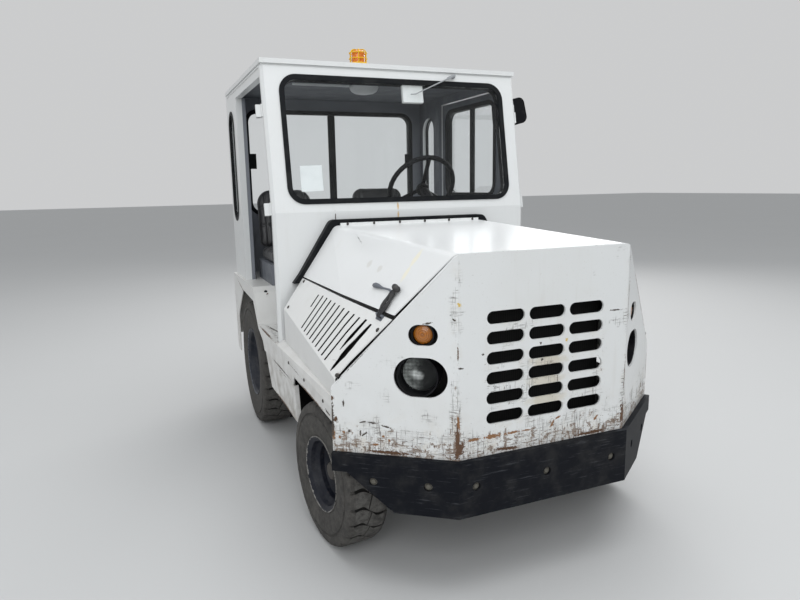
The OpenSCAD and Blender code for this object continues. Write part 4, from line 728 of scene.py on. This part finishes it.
def dress_nodes():
    for name, obj in NODES.items():
        for slot in obj.material_slots:
            was = slot.material.name.split(".")[0] if slot.material else "white_paint"
            slot.material = NODE_LOOKS.get(name) or SLOT_LOOKS.get(was, paint_cab)


dress_nodes()


# Mesh helpers
def new_piece(name, mesh, look, body, sharp=None):
    obj = link_new(name, mesh)
    mesh.materials.clear()
    mesh.materials.append(look)
    mesh.polygons.foreach_set("use_smooth", [True] * len(mesh.polygons))
    if sharp:
        mesh.set_sharp_from_angle(angle=math.radians(sharp))
    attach(obj, body)
    return obj


def mesh_of(name, points, faces):
    mesh = bpy.data.meshes.new(name)
    mesh.from_pydata([tuple(p) for p in points], [], faces)
    mesh.validate()
    mesh.update()
    return mesh


def evaluated(obj):
    """A new mesh with the object's modifiers applied."""
    deps = bpy.context.evaluated_depsgraph_get()
    deps.update()
    return bpy.data.meshes.new_from_object(obj.evaluated_get(deps))


def loft(rings, n, closed=False):
    """The faces that join rings of n points each. Both ends are shut, unless the rings close up."""
    faces = []
    for j in range(rings if closed else rings - 1):
        m = (j + 1) % rings
        for i in range(n):
            k = (i + 1) % n
            faces.append((j * n + i, j * n + k, m * n + k, m * n + i))
    if not closed:
        faces += [tuple(range(n))[::-1], tuple(range((rings - 1) * n, rings * n))]
    return faces


class Bits:
    """Collects small forms for one joined mesh."""

    def __init__(self):
        self.points, self.faces = [], []

    def add(self, points, faces):
        start = len(self.points)
        self.points += [Vector(p) for p in points]
        self.faces += [tuple(start + i for i in f) for f in faces]

    def turned(self, spot, axis, profile, sides=12):
        """A closed turned form from (radius, height) pairs along axis; a radius of 0 closes an end."""
        axis = Vector(axis).normalized()
        u = axis.orthogonal().normalized()
        v = axis.cross(u)
        self.add([polar(spot + axis * h, u, v, max(r, 1e-5), 360 * i / sides) for r, h in profile
                  for i in range(sides)], loft(len(profile), sides))

    def bolt(self, spot, axis, r=0.0105, tall=0.007):
        """A washer and a six-sided head with a softened top."""
        self.turned(spot, axis, [(r * 1.5, -0.001), (r * 1.5, 0.0012), (r * 1.42, 0.002)], 18)
        self.turned(spot, axis, [(r, 0.001), (r, tall * 0.8), (r * 0.86, tall)], 6)

    def screw(self, spot, axis, r=0.009, tall=0.004):
        """A round domed head."""
        dome = [(r, -0.001), (r * 0.97, tall * 0.4), (r * 0.75, tall * 0.8), (r * 0.4, tall), (0, tall)]
        self.turned(spot, axis, dome, 14)

    def tube(self, path, radius, sides=8, closed=False, up=None, flat=1.0):
        """A wire along a path, round or flattened along up. The radius may differ from point to point."""
        n = len(path)
        radii = radius if isinstance(radius, (list, tuple)) else [radius] * n
        points = []
        for i, p in enumerate(path):
            a = path[(i - 1) % n] if closed or i else p
            b = path[(i + 1) % n] if closed or i < n - 1 else p
            t = (b - a).normalized()
            up = t.orthogonal().normalized() if up is None else (up - t * up.dot(t)).normalized()
            points += [polar(p, up * flat, t.cross(up), radii[i], 360 * k / sides) for k in range(sides)]
        self.add(points, loft(n, sides, closed))

    def cord(self, rows, spot_of, **more):
        """A wire from rows of three places for spot_of and a radius in millimetres."""
        self.tube([spot_of(*row[:3]) for row in rows], [row[3] / 1000 for row in rows], **more)

    def plate(self, outline, spot, u, v, thick, bevel=0.0015):
        """A plate with softened edges: its outline in u and v from spot, its thickness across them."""
        u, v = Vector(u).normalized(), Vector(v).normalized()
        w = u.cross(v)
        n = len(outline)
        middle = Vector((sum(p[0] for p in outline) / n, sum(p[1] for p in outline) / n))
        rings = [(1, 0), (0, bevel), (0, thick - bevel), (1, thick)]
        points = []
        for inward, h in rings:
            for p in outline:
                q = Vector(p)
                q = q + (middle - q).normalized() * bevel * inward * 1.2
                points.append(spot + u * q.x + v * q.y + w * h)
        self.add(points, loft(len(rings), n))

    def sheet(self, rows, columns, point, flip, rim=True):
        """A thin sheet of two layers, of which point(row, column, layer) gives the places; the second layer
        is the one behind. flip turns the faces where rows and columns run the other way round."""
        across = columns + 1
        behind = (rows + 1) * across
        quads = [(i * across + k, i * across + k + 1, (i + 1) * across + k + 1, (i + 1) * across + k)
                 for i in range(rows) for k in range(columns)]
        faces = quads + [tuple(behind + q for q in quad[::-1]) for quad in quads]
        if rim:
            edge = list(range(columns)) + [i * across + columns for i in range(rows)]
            edge += [rows * across + k for k in range(columns, 0, -1)]
            edge += [i * across for i in range(rows, 0, -1)]
            faces += [(b, a, behind + a, behind + b) for a, b in zip(edge, edge[1:] + edge[:1])]
        points = [point(i, k, layer) for layer in (0, 1) for i in range(rows + 1) for k in range(across)]
        self.add(points, [f[::-1] for f in faces] if flip else faces)

    def piece(self, name, look, body, slot=None):
        return new_piece(name, mesh_of(name, self.points, self.faces), look, body, 35)


def round_box(w, h, r, steps=6):
    """The outline of a rounded rectangle round the origin; r is one radius or four, from the top right on."""
    radii = r if isinstance(r, (list, tuple)) else (r,) * 4
    out = []
    for q, (sx, sy) in enumerate(((1, 1), (-1, 1), (-1, -1), (1, -1))):
        rr = radii[q]
        for k in range(steps + 1):
            a = math.pi / 2 * (q + k / steps)
            out.append((sx * (w / 2 - rr) + rr * math.cos(a), sy * (h / 2 - rr) + rr * math.sin(a)))
    return out


# Tyres and wheel nuts
TREAD_HALF = 0.43
TREAD_ROWS = (0.97, 0.935, 0.925, 0.895, 0.885, 0.84, 0.76, 0.66, 0.56, 0.46, 0.36, 0.27, 0.18, 0.09, 0.034,
              0.018)
RIB_HALF, WEAR_RING, GROOVE_STEPS = 0.40, 4.5, ((-7.6, 0), (-6.0, 1), (6.0, 1), (7.6, 0))


def smooth(t):
    t = max(0.0, min(1.0, t))
    return t * t * (3 - 2 * t)


def groove_shift(t):
    """How far a tread groove has moved round, in pitches, at the share t across from the outer edge."""
    if t < 0.26:
        return -0.08 * smooth(t / 0.26)
    if t < 0.76:
        return -0.08 + 0.60 * smooth((t - 0.26) / 0.50)
    return 0.52 - 0.06 * smooth((t - 0.76) / 0.24)


def tyre_rows(r, w, b):
    """The tyre's section from the inner bead over the tread to the outer one and back inside:
    radius, place along the axle, place across the tread from -1 to 1 or None, and how deep grooves cut."""
    side = [(b, 0.38, 0), (b + 6, 0.42, 0), (b + 14, 0.44, 0), (b + 26, 0.466, 0), (b + 40, 0.485, 0),
            ((r + b) / 2, 0.5, 0), (r - 61, 0.499, 0), (r - 58, 0.499, 1), (r - 51, 0.498, 1),
            (r - 48, 0.497, 0), (r - 42, 0.495, 0), (r - 30, 0.487, 0), (r - 20, 0.475, 0)]
    half = [(p, x * w - WEAR_RING * in_ring, None, 0) for p, x, in_ring in side]
    half += [(r - 13, 0.457 * w, None, 0.25), (r - 9, 0.445 * w, None, 0.55)]
    for u in TREAD_ROWS:
        drop = 6.0 * smooth((u - 0.80) / 0.20) + 1.2 * u * u
        middle_groove = 6.0 if u == TREAD_ROWS[-1] else 0.0
        half.append((r - drop - middle_groove, u * TREAD_HALF * w, u, 1.0 if u < 0.95 else 0.8))
    other = [(p, -x, -u if u is not None else None, deep) for p, x, u, deep in half]
    inside = [(b, 0.36, 0), (b + 26, 0.34, 0), (b + 26, -0.34, 0), (b, -0.36, 0)]
    return other + half[::-1] + [(p, x * w, None, 0) for p, x, _ in inside]


def make_tyre(where, centre, turn, side, r, w, rim_d, lugs, depth, look):
    """A tyre whose mesh follows its tread grooves: they wave across the tread as in the photograph."""
    rows = tyre_rows(r, w, rim_d / 2)
    pitch = 2 * math.pi * r / lugs
    steps = [(s / pitch, cut) for s, cut in GROOVE_STEPS]
    steps += [(0.10 + k * 0.8 / 6, 0) for k in range(7)]
    spin = Matrix.Rotation(turn, 4, "Z")
    points = []
    for lug in range(lugs):
        for phase, cut in steps:
            for rad, along, u, deep in rows:
                t = 0.5 - (along / (TREAD_HALF * w)) / 2
                a = (lug + phase + groove_shift(t)) / lugs * 2 * math.pi
                if u is not None and abs(u) < RIB_HALF and not cut:
                    along += TREAD_HALF * w * 0.13 * (2 * (phase % 1.0) - 1) * (1 - abs(u) / RIB_HALF)
                if cut and deep:
                    rad -= depth * deep * (1.0 if u is None or abs(u) < 0.93 else 0.8)
                spot = Vector((along * side, rad * math.cos(a), rad * math.sin(a)))
                points.append(spin @ spot / 1000 + centre)
    faces = loft(len(steps) * lugs, len(rows), closed=True)
    if side > 0:
        faces = [f[::-1] for f in faces]
    name = "tread_" + where
    obj = new_piece(name, mesh_of(name, points, faces), look, "wheel_" + where, 38)
    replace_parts(obj, "tyre_" + where)


def make_nuts(where, hub, out, count, first, circle, inward, head, cap_at, cap):
    """Wheel nuts on a circle round the hub, the first at an angle, and the hub's cap."""
    nuts = Bits()
    for k in range(count):
        nuts.bolt(polar(hub - out * inward, UP.cross(out), UP, circle, 360 / count * k + first), out, *head)
    nuts.turned(hub + out * cap_at, out, cap + [(0, cap[-1][1])], 24)
    nuts.piece("wheel_nuts_" + where, cast_iron, "wheel_" + where, "iron")


for side, word in SIDES:
    make_tyre("front_" + word, front_centre(side), STEER, side, FRONT_R, FRONT_W, FRONT_RIM, 25, 11,
              front_tyre_rubber[side])
    make_tyre("rear_" + word, rear_centre(side), 0, side, REAR_R, REAR_W, REAR_RIM, 30, 12, rear_tyre_rubber)
    make_nuts("front_" + word, front_centre(side), FRONT_ALONG * side, 6, 20, 0.082, 0.008, (0.011, 0.016),
              0.016, [(0.040, 0), (0.040, 0.016), (0.034, 0.024), (0.014, 0.026)])
    make_nuts("rear_" + word, rear_centre(side), LEFT * side, 8, 12, 0.096, 0.040, (0.012, 0.018),
              -0.016, [(0.052, 0), (0.052, 0.016), (0.044, 0.026), (0.018, 0.028)])


# Seats: four padded pieces, their vinyl blown up by a cloth simulation
PAD_WIDTH, CUSHION_LONG, BACK_TALL, PAD_THICK = 0.389, 0.414, 0.402, 0.066
PAD_VOXEL, PAD_SWELL = 0.008, 0.010
SEAM_DEEP, SEAM_WIDTH = 0.007, 0.009
BACK_LEAN = math.radians(78)
CLOTH_FRAMES = 20


def pad_mesh(name, outline):
    """A closed block with a rounded outline and rounded rims, for the simulation to fill."""
    r = min(0.022, PAD_THICK / 3)
    rows = [(r * (1 - math.sin(a)), r * (1 - math.cos(a))) for a in [math.pi / 8 * k for k in range(5)]]
    rows += [(x, PAD_THICK - h) for x, h in rows[::-1]]
    points = []
    for inward, h in rows:
        for x, y in outline:
            share = 1 - inward / math.hypot(x, y)
            points.append(Vector((x * share, y * share, h)))
    return mesh_of(name, points, loft(len(rows), len(outline)))


def blown_up(mesh):
    """The mesh remeshed and swollen by Blender's cloth, no point moving more than PAD_SWELL; then one
    subdivision."""
    obj = link_new("pad_work", mesh)
    remesh = obj.modifiers.new("remesh", "REMESH")
    remesh.mode, remesh.voxel_size, remesh.use_smooth_shade = "VOXEL", PAD_VOXEL, True
    even = evaluated(obj)
    obj.modifiers.clear()
    obj.data = even
    rest = [v.co.copy() for v in even.vertices]
    cloth = obj.modifiers.new("cloth", "CLOTH")
    cloth.settings.use_pressure = True
    cloth.settings.uniform_pressure_force = 4
    cloth.settings.effector_weights.gravity = 0
    cloth.settings.quality = 5
    cloth.settings.tension_stiffness = 15
    cloth.settings.compression_stiffness = 15
    cloth.collision_settings.use_collision = False
    cloth.point_cache.frame_end = CLOTH_FRAMES
    scene = bpy.context.scene
    for f in range(1, CLOTH_FRAMES + 1):
        scene.frame_set(f)
    swollen = evaluated(obj)
    scene.frame_set(1)
    obj.modifiers.clear()
    for v, start in zip(swollen.vertices, rest):
        move = v.co - start
        if move.length > PAD_SWELL:
            v.co = start + move.normalized() * PAD_SWELL
    obj.data = swollen
    obj.modifiers.new("finer", "SUBSURF").levels = 1
    done = evaluated(obj)
    bpy.data.objects.remove(obj)
    return done


def sewn(mesh, channels):
    """Sewn channels across the pad's upper face, each at a place along x (0) or y (1)."""
    for v in mesh.vertices:
        share = smooth((v.co.z - PAD_THICK * 0.45) / (PAD_THICK * 0.35))
        sink = max(math.exp(-((v.co[axis] - at) / SEAM_WIDTH) ** 2) for axis, at in channels)
        v.co.z -= SEAM_DEEP * sink * share
    mesh.update()
    return mesh


def seat_piece(name, mesh, spot, turn):
    copy = mesh.copy()
    copy.transform(Matrix.Translation(spot) @ turn)
    obj = new_piece(name, copy, vinyl_black, "vehicle")
    return obj


def make_seats():
    sides = [(0, -0.14), (0, 0.14)]
    cushion = blown_up(pad_mesh("cushion_form", round_box(PAD_WIDTH, CUSHION_LONG, 0.055, 8)))
    cushion = sewn(cushion, [(1, -0.11), (1, 0.0), (1, 0.11)] + sides)
    up = Vector((0, math.cos(BACK_LEAN), math.sin(BACK_LEAN)))
    out = Vector((0, -math.sin(BACK_LEAN), math.cos(BACK_LEAN)))
    pieces = []
    for word, x, corner in (("driver", 246.5, 0.070), ("passenger", -443.5, 0.095)):
        pieces.append(seat_piece("cushion_" + word, cushion, place(x, 2210, 1079), Matrix.Identity(4)))
        outline = round_box(PAD_WIDTH, BACK_TALL, (corner, corner, 0.045, 0.045), 8)
        form = sewn(blown_up(pad_mesh("back_form_" + word, outline)), [(1, 0.07), (1, -0.05)] + sides)
        spot = place(x, 2355, 1145) + up * 0.2095 - out * 0.0805
        pieces.append(seat_piece("back_" + word, form, spot, Matrix.Rotation(BACK_LEAN, 4, "X")))
    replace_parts(pieces[0], "seat_cushions")


# Beacon guard: a wire cage with a rounded top on its base
def make_guard():
    bits = Bits()
    base, cage, wire, arc_r = place(-195, 1532.5, 2203), 0.049, 0.0028, 0.024
    bits.turned(base, UP, [(0.053, 0), (0.053, 0.010), (0.049, 0.014), (0.030, 0.0145), (0, 0.0145)], 32)
    for z in (0.036, 0.066):
        bits.tube([polar(base + UP * z, LEFT, REARWARD, cage, 9 * k) for k in range(40)], wire, closed=True)
    arc = [math.pi - math.pi / 12 * k for k in range(7)]
    half = [(-cage, 0.012), (-cage, 0.03), (-cage, 0.05)]
    half += [(-0.025 + arc_r * math.cos(a), 0.060 + arc_r * math.sin(a)) for a in arc]
    path = half + [(0.0, 0.0845)] + [(-x, z) for x, z in half[::-1]]
    for turn in (15, 75, 135):
        bits.tube([polar(base + UP * z, LEFT, REARWARD, x, turn) for x, z in path], wire)
    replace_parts(bits.piece("guard_cage", yellow, "vehicle", "guard_yellow"), "beacon_guard")


# The windscreen's bare wiper arm, a pale card and a sheet of paper behind it
WIPER_ARM = ((350, 751, 19, 5.5), (335, 745, 21, 5.5), (300, 729, 19, 4.5), (220, 693, 16, 3.6),
             (130, 653, 12, 3.2), (104, 641, 11, 3.2), (88, 640, 9, 3), (74, 640, 6, 3))
PAPER_STEPS = 12


def paper_point(i, k, layer):
    a, b = i / PAPER_STEPS, k / PAPER_STEPS
    bow = 5 * math.sin(math.pi * a) * (1 - 0.5 * b) + 3 * math.sin(math.pi * b) + 4 * (1 - b) * a
    return on_screen(-587 + 120 * a, 112 + 136 * b + 4 * a, -20.5 - bow - layer * 0.8)


def make_wiper():
    arm, card, sheet = Bits(), Bits(), Bits()
    arm.turned(on_screen(350, 751, 0), GLASS_OUT,
               [(0.012, 0), (0.012, 0.010), (0.0095, 0.012), (0.0095, 0.022), (0.007, 0.026), (0, 0.026)], 18)
    arm.cord(WIPER_ARM, on_screen)
    along = LEFT * 0.9 + GLASS_UP * 0.44
    arm.plate(round_box(0.050, 0.016, 0.006), on_screen(326, 741, 17), along, GLASS_OUT.cross(along), 0.007)
    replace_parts(arm.piece("wiper_arm", arm_grey, "vehicle", "frame_black"), "wiper")
    card.plate(round_box(0.125, 0.105, 0.006), on_screen(97.5, 652, -38), LEFT, GLASS_UP, 0.025, 0.002)
    card.piece("screen_card", card_paper, "vehicle")
    sheet.sheet(PAPER_STEPS, PAPER_STEPS, paper_point, flip=True)
    sheet.piece("screen_sheet", sheet_paper, "vehicle")


# Headlamp dishes behind the glass
DISH = [(0.0, -0.0070), (0.067, -0.0069), (0.067, 0.0), (0.062, -0.0010), (0.045, -0.0042), (0.02, -0.0060),
        (0.0, -0.0064)]
BULB = [(0.014, -0.0064), (0.014, -0.001), (0.009, 0.002), (0, 0.002)]


def make_bowls():
    bits = Bits()
    for side, _ in SIDES:
        spot = on_facet(side, 153, 63, 853)
        out = on_facet(side, 153, 0, 853) - on_facet(side, 153, 10, 853)
        bits.turned(spot, out, DISH, 40)
        bits.turned(spot, out, BULB, 20)
    bits.piece("lamp_bowls", reflector, "vehicle", "steel")


# Hood latches: two rubber strands with a grip and a lever, hooked to a bracket on the cover
STRAND = ((-104, 3, 15, 8), (-94, 5, 16, 9), (-84, 8, 16, 11), (-72, 9, 15, 10), (-60, 13, 15, 8.5),
          (-44, 16, 15, 9.5), (-28, 14, 15, 11), (-12, 9, 14, 11), (4, 7, 13, 10), (20, 7, 11, 9))
LEVER = ((-80, 4, 15, 7), (-90, 18, 17, 6), (-93, 40, 15, 4.5), (-92, 70, 13, 4), (-90, 100, 12, 4.5),
         (-90, 130, 11, 7), (-90, 160, 11, 10.5), (-89, 185, 10, 11.5), (-88, 200, 10, 7))


def make_latches():
    straps, levers = Bits(), Bits()
    for side, _ in SIDES:
        def at(x, y, z):
            return on_slope(side, x, y, z)

        out = (at(0, 0, 10) - at(0, 0, 0)).normalized()
        for s in (-1, 1):
            strand = [(x, s * y - 3 * (x < -80), z, r) for x, y, z, r in STRAND]
            straps.cord(strand, at, sides=12, up=out, flat=0.62)
        for x in (-76, -22, -8):
            straps.tube([at(x, -13, 16), at(x, 0, 18), at(x, 13, 16)], 0.0045)
        grip_from, grip_to = at(-104, -36, 19), at(-112, 12, 19)
        long = (grip_to - grip_from).length
        end = [(0, 0), (0.006, 0.0005), (0.0105, 0.004), (0.0125, 0.010)]
        straps.turned(grip_from, grip_to - grip_from,
                      end + [(0.0115, long * 0.5)] + [(r, long - h) for r, h in end[::-1]], 16)
        levers.cord(LEVER, at, sides=12, up=out, flat=0.5)
        foot = at(17, 0, -8)
        down = (at(27, 0, -8) - foot).normalized()
        levers.plate(round_box(0.026, 0.056, 0.006), foot, down, out.cross(down), 0.014)
        levers.tube([at(10, -29, 10), at(10, 29, 10)], 0.0055, 12)
    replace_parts(straps.piece("latch_straps", strap_rubber, "hood", "rubber_black"), "hood_latches")
    levers.piece("latch_levers", lever_grey, "hood", "rubber_black")


# Steering wheel's moulded grip, window bars, and the near-black rubber flaps behind the front wheels, which
# stand in for the wheel wells' shade
FLAP_WIDTH, FLAP_TALL, FLAP_THICK, FLAP_RIB = 0.304, 0.310, 0.006, 0.0035
FLAP_ROWS, FLAP_COLUMNS = 14, 25
GRIP_R, GRIP_THICK, GRIP_KNURL, GRIP_STEPS = 0.208, 0.0146, 0.0004, 144
GRIP_TILT = math.radians(32)


def make_grip():
    grip = Bits()
    middle = place(237.5, 1656.8, 1530.6)
    plane = Vector((0, -math.sin(GRIP_TILT), math.cos(GRIP_TILT)))
    radii = [GRIP_THICK + (GRIP_KNURL if i % 4 < 2 else -GRIP_KNURL) for i in range(GRIP_STEPS)]
    path = [polar(middle, LEFT, plane, GRIP_R, 360 * i / GRIP_STEPS) for i in range(GRIP_STEPS)]
    grip.tube(path, radii, 14, closed=True)
    grip.piece("wheel_grip", black_plastic, "steering_wheel", "plastic_black")


def make_bars():
    """The moulded bars that divide the rear window and the door's window."""
    rear, door = Bits(), Bits()
    rear.plate(round_box(0.052, 0.688, 0.004), place(0, 2760, 1722.5), LEFT, UP, 0.018, 0.004)
    rear.piece("rear_window_bar", seal_rubber, "vehicle", "rubber_black")
    door.plate(round_box(0.042, 0.574, 0.004), place(739, 1937, 1767), REARWARD, UP, 0.017, 0.004)
    door.piece("door_window_bar", seal_rubber, "door", "rubber_black")


def make_flaps():
    for side, word in SIDES:
        # The near-black rubber flaps stand in for the shade in the wheel wells behind the front wheels
        flap = Bits()
        foot = place(side * 604, 1110, 380)

        def point(i, k, layer):
            v, u = i / FLAP_ROWS, k / FLAP_COLUMNS - 0.5
            rib = FLAP_RIB if k % 4 == 2 and 0 < i < FLAP_ROWS else 0.0
            bend = 0.030 * (1 - v) ** 2 + 0.006 * math.sin(5 * u + 2 * v)
            return (foot + LEFT * side * u * FLAP_WIDTH + UP * v * FLAP_TALL
                    + REARWARD * (bend + (FLAP_THICK if layer else -rib)))

        flap.sheet(FLAP_ROWS, FLAP_COLUMNS, point, flip=side < 0)
        for u in (-0.4, -0.13, 0.13, 0.4):
            spot = foot + LEFT * side * u * FLAP_WIDTH + UP * (FLAP_TALL - 0.02) - REARWARD * 0.001
            flap.bolt(spot, -REARWARD, 0.008, 0.006)
        flap.piece("mud_flap_" + word, shade_black_foam, "vehicle", "rubber_black")


# Fasteners and small trim
COVER_SCREWS = ((610, 195, 1020), (751, 281, 843), (722, 1225, 944), (622, 1225, 1062))
RAIL_SCREWS = ((1040, 700), (420, 700), (730, 700))
MAT_ROWS, MAT_COLUMNS = 24, 8


def make_fasteners():
    bolts, flange, small, step = Bits(), Bits(), Bits(), Bits()
    for x in (-315, 0, 315):
        bolts.bolt(place(x, -10, 436), -REARWARD)
    for x in (-374, -225, -75, 75, 225, 374):
        flange.screw(place(x, 1261, 1352), -REARWARD, 0.007)
    for side, word in SIDES:
        for along in (110, 324):
            spot = on_facet(side, along, -10, 436)
            bolts.bolt(spot, on_facet(side, along, -20, 436) - spot)
        way = Vector((side * COVER_OUT_X, 0, COVER_OUT_Z))
        for x, y, z in COVER_SCREWS:
            spot, normal = on_surface("engine_cover_" + word, place(side * x, y, z), way)
            small.screw(spot, normal if normal.dot(way) > 0 else -normal, tall=0.005)
        for y, z in RAIL_SCREWS:
            spot, _ = on_surface("side_rail_" + word, place(side * 772, y, z), LEFT * side)
            small.screw(spot, LEFT * side, 0.008)
    for x, z, profile, sides in (
            (-691, 750, [(0.022, -0.001), (0.022, 0.002), (0.019, 0.004), (0.010, 0.005), (0, 0.005)], 24),
            (-698, 911, [(0.010, -0.001), (0.010, 0.002), (0.006, 0.003), (0, 0.003)], 16)):
        spot, _ = on_surface("body_side_right", place(x, 1950, z), -REARWARD)
        step.turned(spot, -REARWARD, profile, sides)
    bolts.piece("bumper_bolts", old_zinc, "vehicle", "steel")
    flange.piece("hood_screws", cast_iron, "hood", "iron")
    small.piece("cover_screws", cast_iron, "vehicle", "iron")
    step.piece("step_plugs", black_plastic, "vehicle", "plastic_black")


def make_mats():
    """Black foam mats behind the louvres: near-black sheets that stand in for the shade of the engine bay
    seen through the slots.
    """
    for side, word in SIDES:
        def point(i, k, layer):
            depth = 9 + 4 * layer + 1.2 * math.sin(i * 1.9) * math.sin(k * 2.3)
            return cover_point(side, 270 + 940 * i / MAT_ROWS, 0.04 + 0.93 * k / MAT_COLUMNS, depth)

        mat = Bits()
        mat.sheet(MAT_ROWS, MAT_COLUMNS, point, flip=side < 0, rim=False)
        mat.piece("cover_mat_" + word, shade_black_foam, "vehicle")


def make_inside():
    """The dome lamp and its rail under the roof, and the dark box at the windscreen's corner."""
    lamp, box = Bits(), Bits()
    lamp.turned(place(-5, 1985, 2170), -UP, [(0.088, 0), (0.092, 0.010), (0.090, 0.020), (0.080, 0.036),
                                             (0.060, 0.047), (0.030, 0.053), (0, 0.054)], 36)
    lamp.plate(round_box(0.36, 0.020, 0.004), place(-283, 1985, 2170), LEFT, -REARWARD, 0.012)
    lamp.piece("dome_lamp", lamp_plastic, "vehicle")
    box.plate(round_box(0.050, 0.140, 0.022, 8), on_screen(645, 541, -50), LEFT, GLASS_UP, 0.030, 0.005)
    box.piece("screen_post_box", black_plastic, "vehicle", "plastic_black")


make_seats()
make_guard()
make_wiper()
make_bowls()
make_latches()
make_grip()
make_bars()
make_flaps()
make_fasteners()
make_mats()
make_inside()


# Light, floor and background
FLOOR_HALF = 60.0
COOL_LIGHT = (0.96, 0.98, 1.0)


def make_stage():
    corners = [(-1, -1), (1, -1), (1, 1), (-1, 1)]
    corners = [(x * FLOOR_HALF, y * FLOOR_HALF, -PIN_Z / 1000) for x, y in corners]
    floor = mesh_of("floor", corners, [(0, 1, 2, 3)])
    look = Look("floor_plain", (0.50, 0.50, 0.495), 0.9)
    look.patches((0.6, 2, 0.5), 0.3, 0.8, 0.2, (0.53, 0.53, 0.525))
    floor.materials.append(look.done())
    link_new("floor", floor)

    world = bpy.data.worlds.new("studio")
    bpy.context.scene.world = world
    world.use_nodes = True
    tree = world.node_tree
    tree.nodes.clear()
    rays = tree.nodes.new("ShaderNodeLightPath").outputs
    soft = put(tree, "ShaderNodeBackground", rgb((0.94, 0.97, 1.0)), 0.62)
    plain = put(tree, "ShaderNodeBackground", rgb((0.60, 0.605, 0.61)), 1.0)
    seen = rays["Is Camera Ray"]
    for kind in ("Is Glossy Ray", "Is Transmission Ray"):
        seen = put(tree, "ShaderNodeMath", seen, rays[kind], operation="MAXIMUM").outputs[0]
    mix = put(tree, "ShaderNodeMixShader", seen, soft.outputs[0], plain.outputs[0])
    tree.links.new(mix.outputs[0], tree.nodes.new("ShaderNodeOutputWorld").inputs[0])


def area_light(name, way, size, power, colour=(1, 1, 1)):
    """A square light that looks at the vehicle's middle from a place at way from it."""
    data = bpy.data.lights.new(name, "AREA")
    data.shape, data.size, data.energy, data.color = "SQUARE", size, power, colour
    way = Vector(way)
    turn = (-way).to_track_quat("-Z", "Y").to_matrix().to_4x4()
    link_new(name, data).matrix_world = Matrix.Translation(place(0, 1400, 900) + way) @ turn


make_stage()
bpy.context.scene.view_settings.view_transform = "Standard"
area_light("top_light", (0.5, -1.0, 6.5), 7.0, 350, COOL_LIGHT)
area_light("front_light", (-3.5, -6.5, 3.5), 5.0, 222, COOL_LIGHT)
area_light("rear_light", (4.0, 5.5, 4.0), 5.0, 200)
